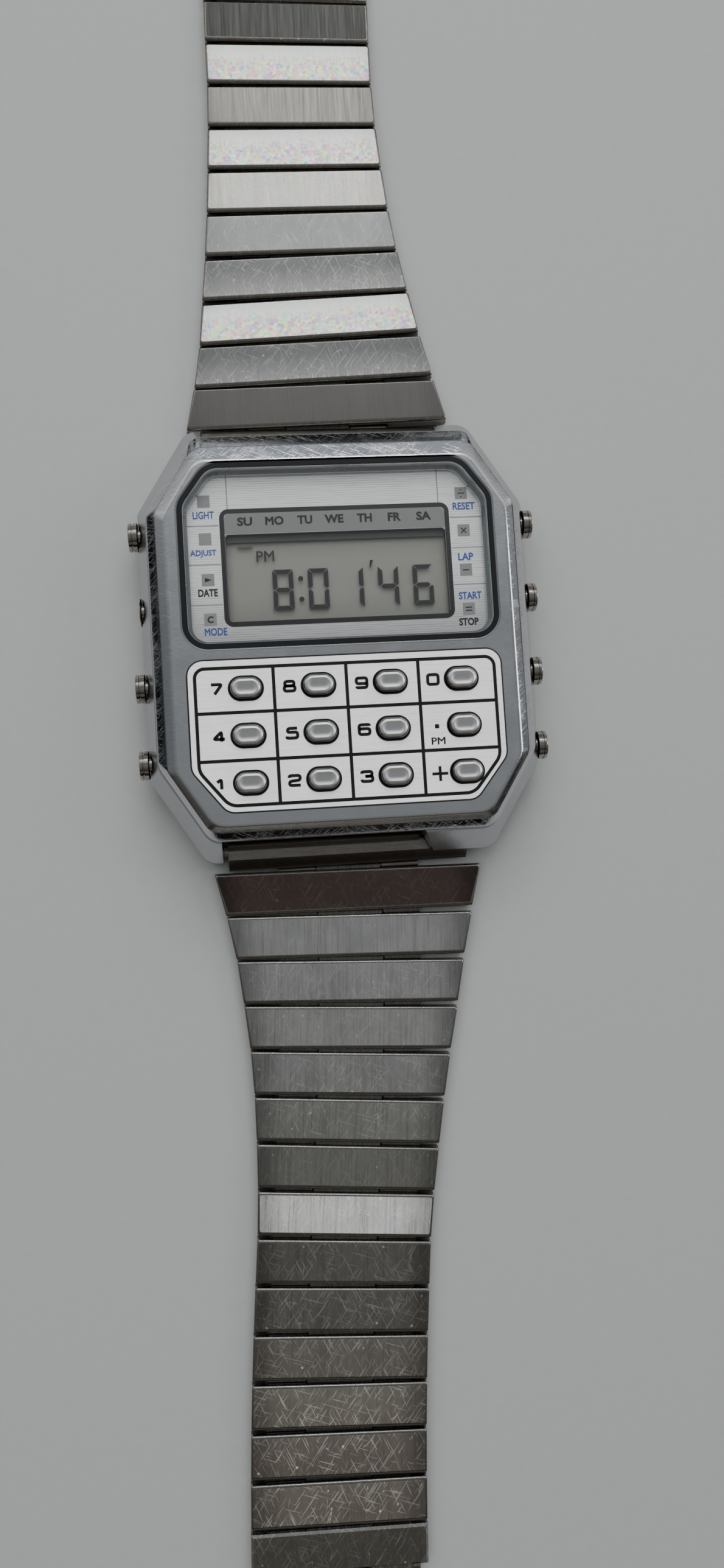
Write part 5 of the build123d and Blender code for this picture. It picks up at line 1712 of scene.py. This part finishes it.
    def plate(self, shell: Shell, hinge: Hinge, number: int, rolls: Point,
              slot: int) -> None:
        """The link's skin: loops from the underside over rolled edges to the flat top.

        At angle a from 0 to 90 degrees a loop is inset by r (1 - cos a) and raised by
        r sin a, with the radius r large at the edge nearest the case and small elsewhere.

        Args:
            shell: the shell it goes into.
            hinge: where the link starts.
            number: the link's number from the case.
            rolls: roll radii of the near and the far edge.
            slot: material of the top; the next one is that of the edges.
        """
        start, end, steps = self.gap / 2, self.pitch - self.gap / 2, 5
        first, last = self.half(number, start), self.half(number, end)
        corners = [(-first, start), (first, start), (last, end), (-last, end)]
        outline = rounded(corners, self.corner, steps)
        inward = np.sign(outline.mean(0) - outline)
        radii = np.column_stack([np.full(4 * steps, self.side_roll),
                                 np.repeat(rolls, 2 * steps)])
        drop = radii.min(axis=1)
        rows = [raised(outline, self.height - self.skin)]
        for angle in np.radians(np.linspace(0, 90, 7)):
            ring = outline + inward * radii * (1 - math.cos(angle))
            rows.append(np.column_stack([
                ring, self.height - drop + drop * math.sin(angle)]))
        rows.append(raised(outline + inward * (radii + self.flat_start), self.height))
        grid = np.stack(rows)
        placed = hinge.place(grid)
        along = (grid[..., 1] - start) / (end - start)
        shell.grid(placed[:-1], slot + 1)
        shell.grid(placed[-2:], slot, along[-2:])
        shell.cap([placed[-1]], slot, along[-1])
        shell.cap([placed[0]])

    def bar(self, shell: Shell, hinge: Hinge, loops: Sequence[Array], span: Point) -> None:
        """Carries a side profile across the bracelet.

        Args:
            shell: the shell it goes into.
            hinge: where the link starts.
            loops: the profile (along, height), then its holes.
            span: where the bar starts and ends across the bracelet.
        """
        shell.tube(*([hinge.place(np.column_stack([np.full(len(loop), across), loop]))
                      for loop in loops] for across in span))

    def ring(self, at: float, radius: float) -> Array:
        """Circle in the side view about a hinge axis."""
        return circle(at, self.hinge_z, radius, 22)

    def knuckle_profile(self, at: float, way: int) -> Array:
        """Side view of a curled knuckle and its web: three quarters of a circle, then out.

        Args:
            at: the hinge axis along the link.
            way: 1 if the web runs away from the case, -1 if towards it.
        Returns:
            An (n, 2) array.
        """
        turn = np.linspace(*np.radians(self.knuckle_arc), 18)
        arc = np.column_stack([at + way * self.knuckle * np.cos(turn),
                               self.hinge_z + self.knuckle * np.sin(turn)])
        under = self.height - self.skin + 2 * self.overlap
        web = [(at + way * self.reach, arc[-1, 1]), (at + way * self.reach, under),
               (at + way * self.knuckle * self.web_start, under)]
        return np.concatenate([arc, web])

    def link(self, shell: Shell, hinge: Hinge, number: int, rolls: Point,
             slot: int) -> None:
        """One link: skin, folded edges, turned-down ends, three knuckles and its pin.

        Args:
            shell: the shell it goes into.
            hinge: where the link starts.
            number: the link's number from the case.
            rolls: roll radii of the near and the far edge.
            slot: material of the plate's top.
        """
        self.plate(shell, hinge, number, rolls, slot)
        under = self.height - self.skin + self.overlap
        start, end = self.gap / 2, self.pitch - self.gap / 2
        first, last = start + self.flange_gap, end - self.flange_gap
        for a, b, bottom in ((first, last, 0.0), (start, first, self.lip_bottom),
                             (last, end, self.lip_bottom)):
            outer = [self.half(number, at) - self.set_back for at in (a, b)]
            inner = [self.lip_start if bottom else at - self.flange for at in outer]
            corners = np.array([(inner[0], a), (outer[0], a), (outer[1], b), (inner[1], b)])
            for side in (1, -1):
                foot = corners * (side, 1)
                shell.tube(*([hinge.place(raised(foot, z))] for z in (bottom, under)))
        gap, far = self.middle + self.knuckle_gap, self.pitch
        self.bar(shell, hinge, [self.knuckle_profile(0.0, 1), self.ring(0.0, self.hole)],
                 (-self.middle, self.middle))
        for span in ((-self.outer, -gap), (gap, self.outer)):
            self.bar(shell, hinge, [self.knuckle_profile(far, -1),
                                    self.ring(far, self.pin + self.overlap)], span)
        self.bar(shell, hinge, [self.ring(far, self.pin)], (-self.outer, self.outer))

    def finish(self, side: Side, number: int, hinge: Hinge) -> Finish:
        """The brushed top of one plate, with its own wear and painted light.

        Args:
            side: the half.
            number: the link's number from the case.
            hinge: where the link starts.
        Returns:
            Its finish.
        """
        look = self.looks[side][number]
        return BrushedSteel(
            f"brushed_plate_{side.name.lower()}_{number + 1}", colour=look.tone,
            metallic=look.metallic, roughness=look.roughness, turn=hinge.yaw,
            scratches=look.scratches, painted_highlight=look.painted_highlight, speckle=look.speckle,
            depth=look.depth, ends=self.ends[side], middle=tuple(hinge.origin[:2]),
            across=tuple(hinge.across[:2]), half=self.half(number, self.pitch / 2))

    def build(self) -> list[bpy.types.Object]:
        """Makes each pair of links as one piece on its own body.

        Returns:
            The pairs, upper half first.
        """
        pieces = []
        for side in Side:
            hinges = self.hinges(side)
            for first in range(0, len(hinges) - 1, 2):
                shell, finishes = Shell(), [LINK_BACK]
                for number in (first, first + 1):
                    self.link(shell, hinges[number], number, self.rolls[side],
                              len(finishes))
                    finishes += [self.finish(side, number, hinges[number]),
                                 self.edges[side]]
                name = f"{side.name.lower()}_links_{first + 1}_{first + 2}"
                pieces.append(shell.piece(f"{name}_plates", finishes, name, "link_steel",
                                          name))
        return pieces


# ---------------------------------------------------------------- nodes kept as they are
@dataclass
class KeptNodes:
    """The CAD nodes whose shape stays, each with its finish."""

    finishes: dict[str, Finish] = field(default_factory=lambda: {
        "case_body": CASE_CHROME, "case_back": BACK_STEEL, "back_gasket": RUBBER,
        "back_screws": SMALL_STEEL, "crystal": CRYSTAL, "crystal_seal": SEAL,
        "dial_plate": DIAL, "contact_strips": CONTACT_RUBBER, "lamp": LAMP_GLASS,
        "key_plate": KEY_PLATE, "key_membrane": CONTACT_RUBBER, "circuit_board": BOARD,
        "processor_chip": CHIP, "quartz_can": CAN_STEEL, "module_frame": FRAME_PLASTIC,
        "button_cells": CELL_STEEL, "battery_clamp": CLAMP_STEEL,
        "side_contacts": CONTACT_GILT, "pusher_seals": RUBBER, "spring_bars": SMALL_STEEL,
        "upper_end_link": END_STEEL, "lower_end_link": END_STEEL,
        "clasp_ladder": CLASP_STEEL, "clasp_frame": CLASP_STEEL,
        "clasp_cover": CLASP_STEEL})

    def dress(self, nodes: dict[str, bpy.types.Object]) -> list[bpy.types.Object]:
        """Gives each kept node its finish in every material slot.

        Args:
            nodes: the frame's nodes by name.
        Returns:
            The kept nodes.
        """
        for name, finish in self.finishes.items():
            data = nodes[name].data
            if not data.materials:
                data.materials.append(finish.material())
            for index in range(len(data.materials)):
                data.materials[index] = finish.material()
        return [nodes[name] for name in self.finishes]


# ---------------------------------------------------------------- studio
@dataclass
class Studio:
    """Pale table, soft lights and the camera at the photograph's viewing angle."""

    eye: tuple[float, float, float] = (-9.27, -20.02, 112.09)
    turn: tuple[float, float, float] = (-0.06292, -0.09561, -0.05820)
    lens: float = 27.08
    sensor: float = 36.0
    clip: Point = (0.005, 20.0)
    table_half: float = 1300.0
    table_z: float = -0.02
    background: str = "A2A4A4"
    room: Stops = (
        (0.0, "1E1B19"), (0.015, "2B2725"), (0.04, "77746F"), (0.12, "77746F"),
        (0.16, "2B2725"), (0.22, "5C5852"), (0.36, "777775"), (0.44, "858789"),
        (0.6, "85888B"), (0.67, "A9ACAF"), (0.75, "EEEFEF"), (0.9, "FFFFFF"),
        (1.0, "F2F4F6"))
    fall: Stops = ((0.01, 0.2), (0.03, 0.3), (0.06, 0.75), (0.25, 0.9), (0.4, 1.0))
    clutter: Stops = ((0.42, 0.05), (0.5, 0.35), (0.55, 0.9), (0.7, 1.5))
    bars: Stops = ((0.0, 0.3), (0.14, 0.3), (0.18, 0.6), (0.3, 0.6), (0.37, 0.16),
                   (0.5, 0.2), (0.56, "B0B7C0"), (0.67, "B0B7C0"), (0.69, 3.0),
                   (0.74, 3.0), (0.77, 1.0))
    lump_scale: float = 4.0
    lump_roughness: float = 0.6
    low_z: Point = (0.25, 0.5)
    front_y: Point = (0.55, 0.75)
    lamps: tuple[tuple[str, tuple[float, float, float], Point, float, bool], ...] = (
        ("window", (0.1, 0.7, 0.5), (0.6, 0.3), 3.0, False),
        ("fill", (0.7, 0.1, 0.54), (0.3, 0.3), 1.0, True),
        ("glint", (0.1, 0.62, 0.75), (0.3, 0.05), 0.45, True),
        ("ceiling", (-0.1, 0.3, 0.7), (0.9, 0.9), 8.4, False))

    def camera(self) -> None:
        """Pinhole camera: the rotation vector turns the row frame into the image's frame."""
        angle = Vector(self.turn).length
        spin = Matrix.Rotation(angle, 3, Vector(self.turn).normalized())
        flip = Matrix(((1, 0, 0), (0, -1, 0), (0, 0, -1)))
        view = (flip @ (spin @ flip)).transposed()
        data = bpy.data.cameras.new("camera")
        data.sensor_fit = "VERTICAL"
        data.sensor_height = self.sensor
        data.lens = self.lens
        data.clip_start, data.clip_end = self.clip
        made = bpy.data.objects.new("camera", data)
        made.matrix_world = Matrix.Translation(Vector(self.eye) * MM) @ view.to_4x4()
        bpy.context.scene.collection.objects.link(made)
        bpy.context.scene.camera = made

    def floor(self) -> None:
        """A plain pale table top with a faint grain."""
        size = self.table_half
        corners = raised(rect(-size, size, -size, size), self.table_z) * MM
        mesh = bpy.data.meshes.new("table")
        mesh.from_pydata(corners.tolist(), [], [(0, 1, 2, 3)])
        mesh.materials.append(TABLE.material())
        table = bpy.data.objects.new("table", mesh)
        bpy.context.scene.collection.objects.link(table)

    def lamp(self, name: str, place: tuple[float, float, float], size: Point, power: float,
             mirrored: bool) -> None:
        """Adds a soft rectangular light that looks at the dial.

        Args:
            name: the lamp's name.
            place: where it stands, in metres.
            size: its width and height, in metres.
            power: its power in watts.
            mirrored: whether polished metal shows it.
        """
        data = bpy.data.lights.new(name, "AREA")
        data.shape = "RECTANGLE"
        data.size, data.size_y = size
        data.energy = power
        made = bpy.data.objects.new(name, data)
        made.location = place
        made.rotation_euler = (-Vector(place)).to_track_quat("-Z", "Y").to_euler()
        made.visible_glossy = mirrored
        bpy.context.scene.collection.objects.link(made)

    def sky(self) -> None:
        """Room seen from the table: a wide window beyond 12 o'clock, a dim ceiling.

        The tone follows the direction's Y, and falls off again towards low -X. Clutter near
        the horizon shows as streaks in polished metal, and the window has bars by height.
        """
        world = bpy.data.worlds.new("room")
        world.use_nodes = True
        tree = world.node_tree
        add = partial(add_node, tree)
        way = add("TexCoord").outputs["Generated"]
        x, y, z = add("SeparateXYZ", {0: way}).outputs
        level, aside = (add("MapRange", {0: axis, 1: -1.0, 2: 1.0}) for axis in (y, x))
        lumps = add("TexNoise", {"Vector": way, "Scale": self.lump_scale, "Detail": 4.0,
                                 "Roughness": self.lump_roughness})
        low = add("MapRange", {0: z, 1: self.low_z[0], 2: self.low_z[1], 3: 1.0, 4: 0.0})
        front = add("MapRange", {0: y, 1: self.front_y[0], 2: self.front_y[1]})
        light = add("ValToRGB", {0: level}, self.room)
        for share, source, stops in ((1.0, aside, self.fall), (low, lumps, self.clutter),
                                     (front, z, self.bars)):
            pattern = add("ValToRGB", {0: source}, stops)
            light = add("Mix", {0: share, MIX_A: light, MIX_B: pattern}, **MULTIPLY)
        seen = add("LightPath").outputs["Is Camera Ray"]
        shown = add("Mix", {0: seen, MIX_A: light, MIX_B: self.background}, **BLEND)
        feed(tree, tree.nodes["Background"].inputs[0], shown)
        feed(tree, tree.nodes["Background"].inputs[1], 1.0)
        bpy.context.scene.world = world

    def build(self) -> None:
        """Sets up table, room, lights and camera."""
        self.camera()
        self.floor()
        self.sky()
        for lamp in self.lamps:
            self.lamp(*lamp)


def main() -> None:
    """Loads the frame, builds each sub-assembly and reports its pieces."""
    logging.basicConfig(level=logging.INFO, format="%(name)s: %(message)s")
    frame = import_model()
    Studio().build()
    keypad = Keypad()
    pieces = Bezel().build(keypad.outlines(2 * keypad.gap))
    for part in (keypad, Dial(), Pushers(), Bracelet()):
        pieces += part.build()
    pieces += KeptNodes().dress(frame["nodes"])
    for piece in pieces:
        log.info("%s: %d faces", piece.name, len(piece.data.polygons))


if __name__ == "__main__":
    main()
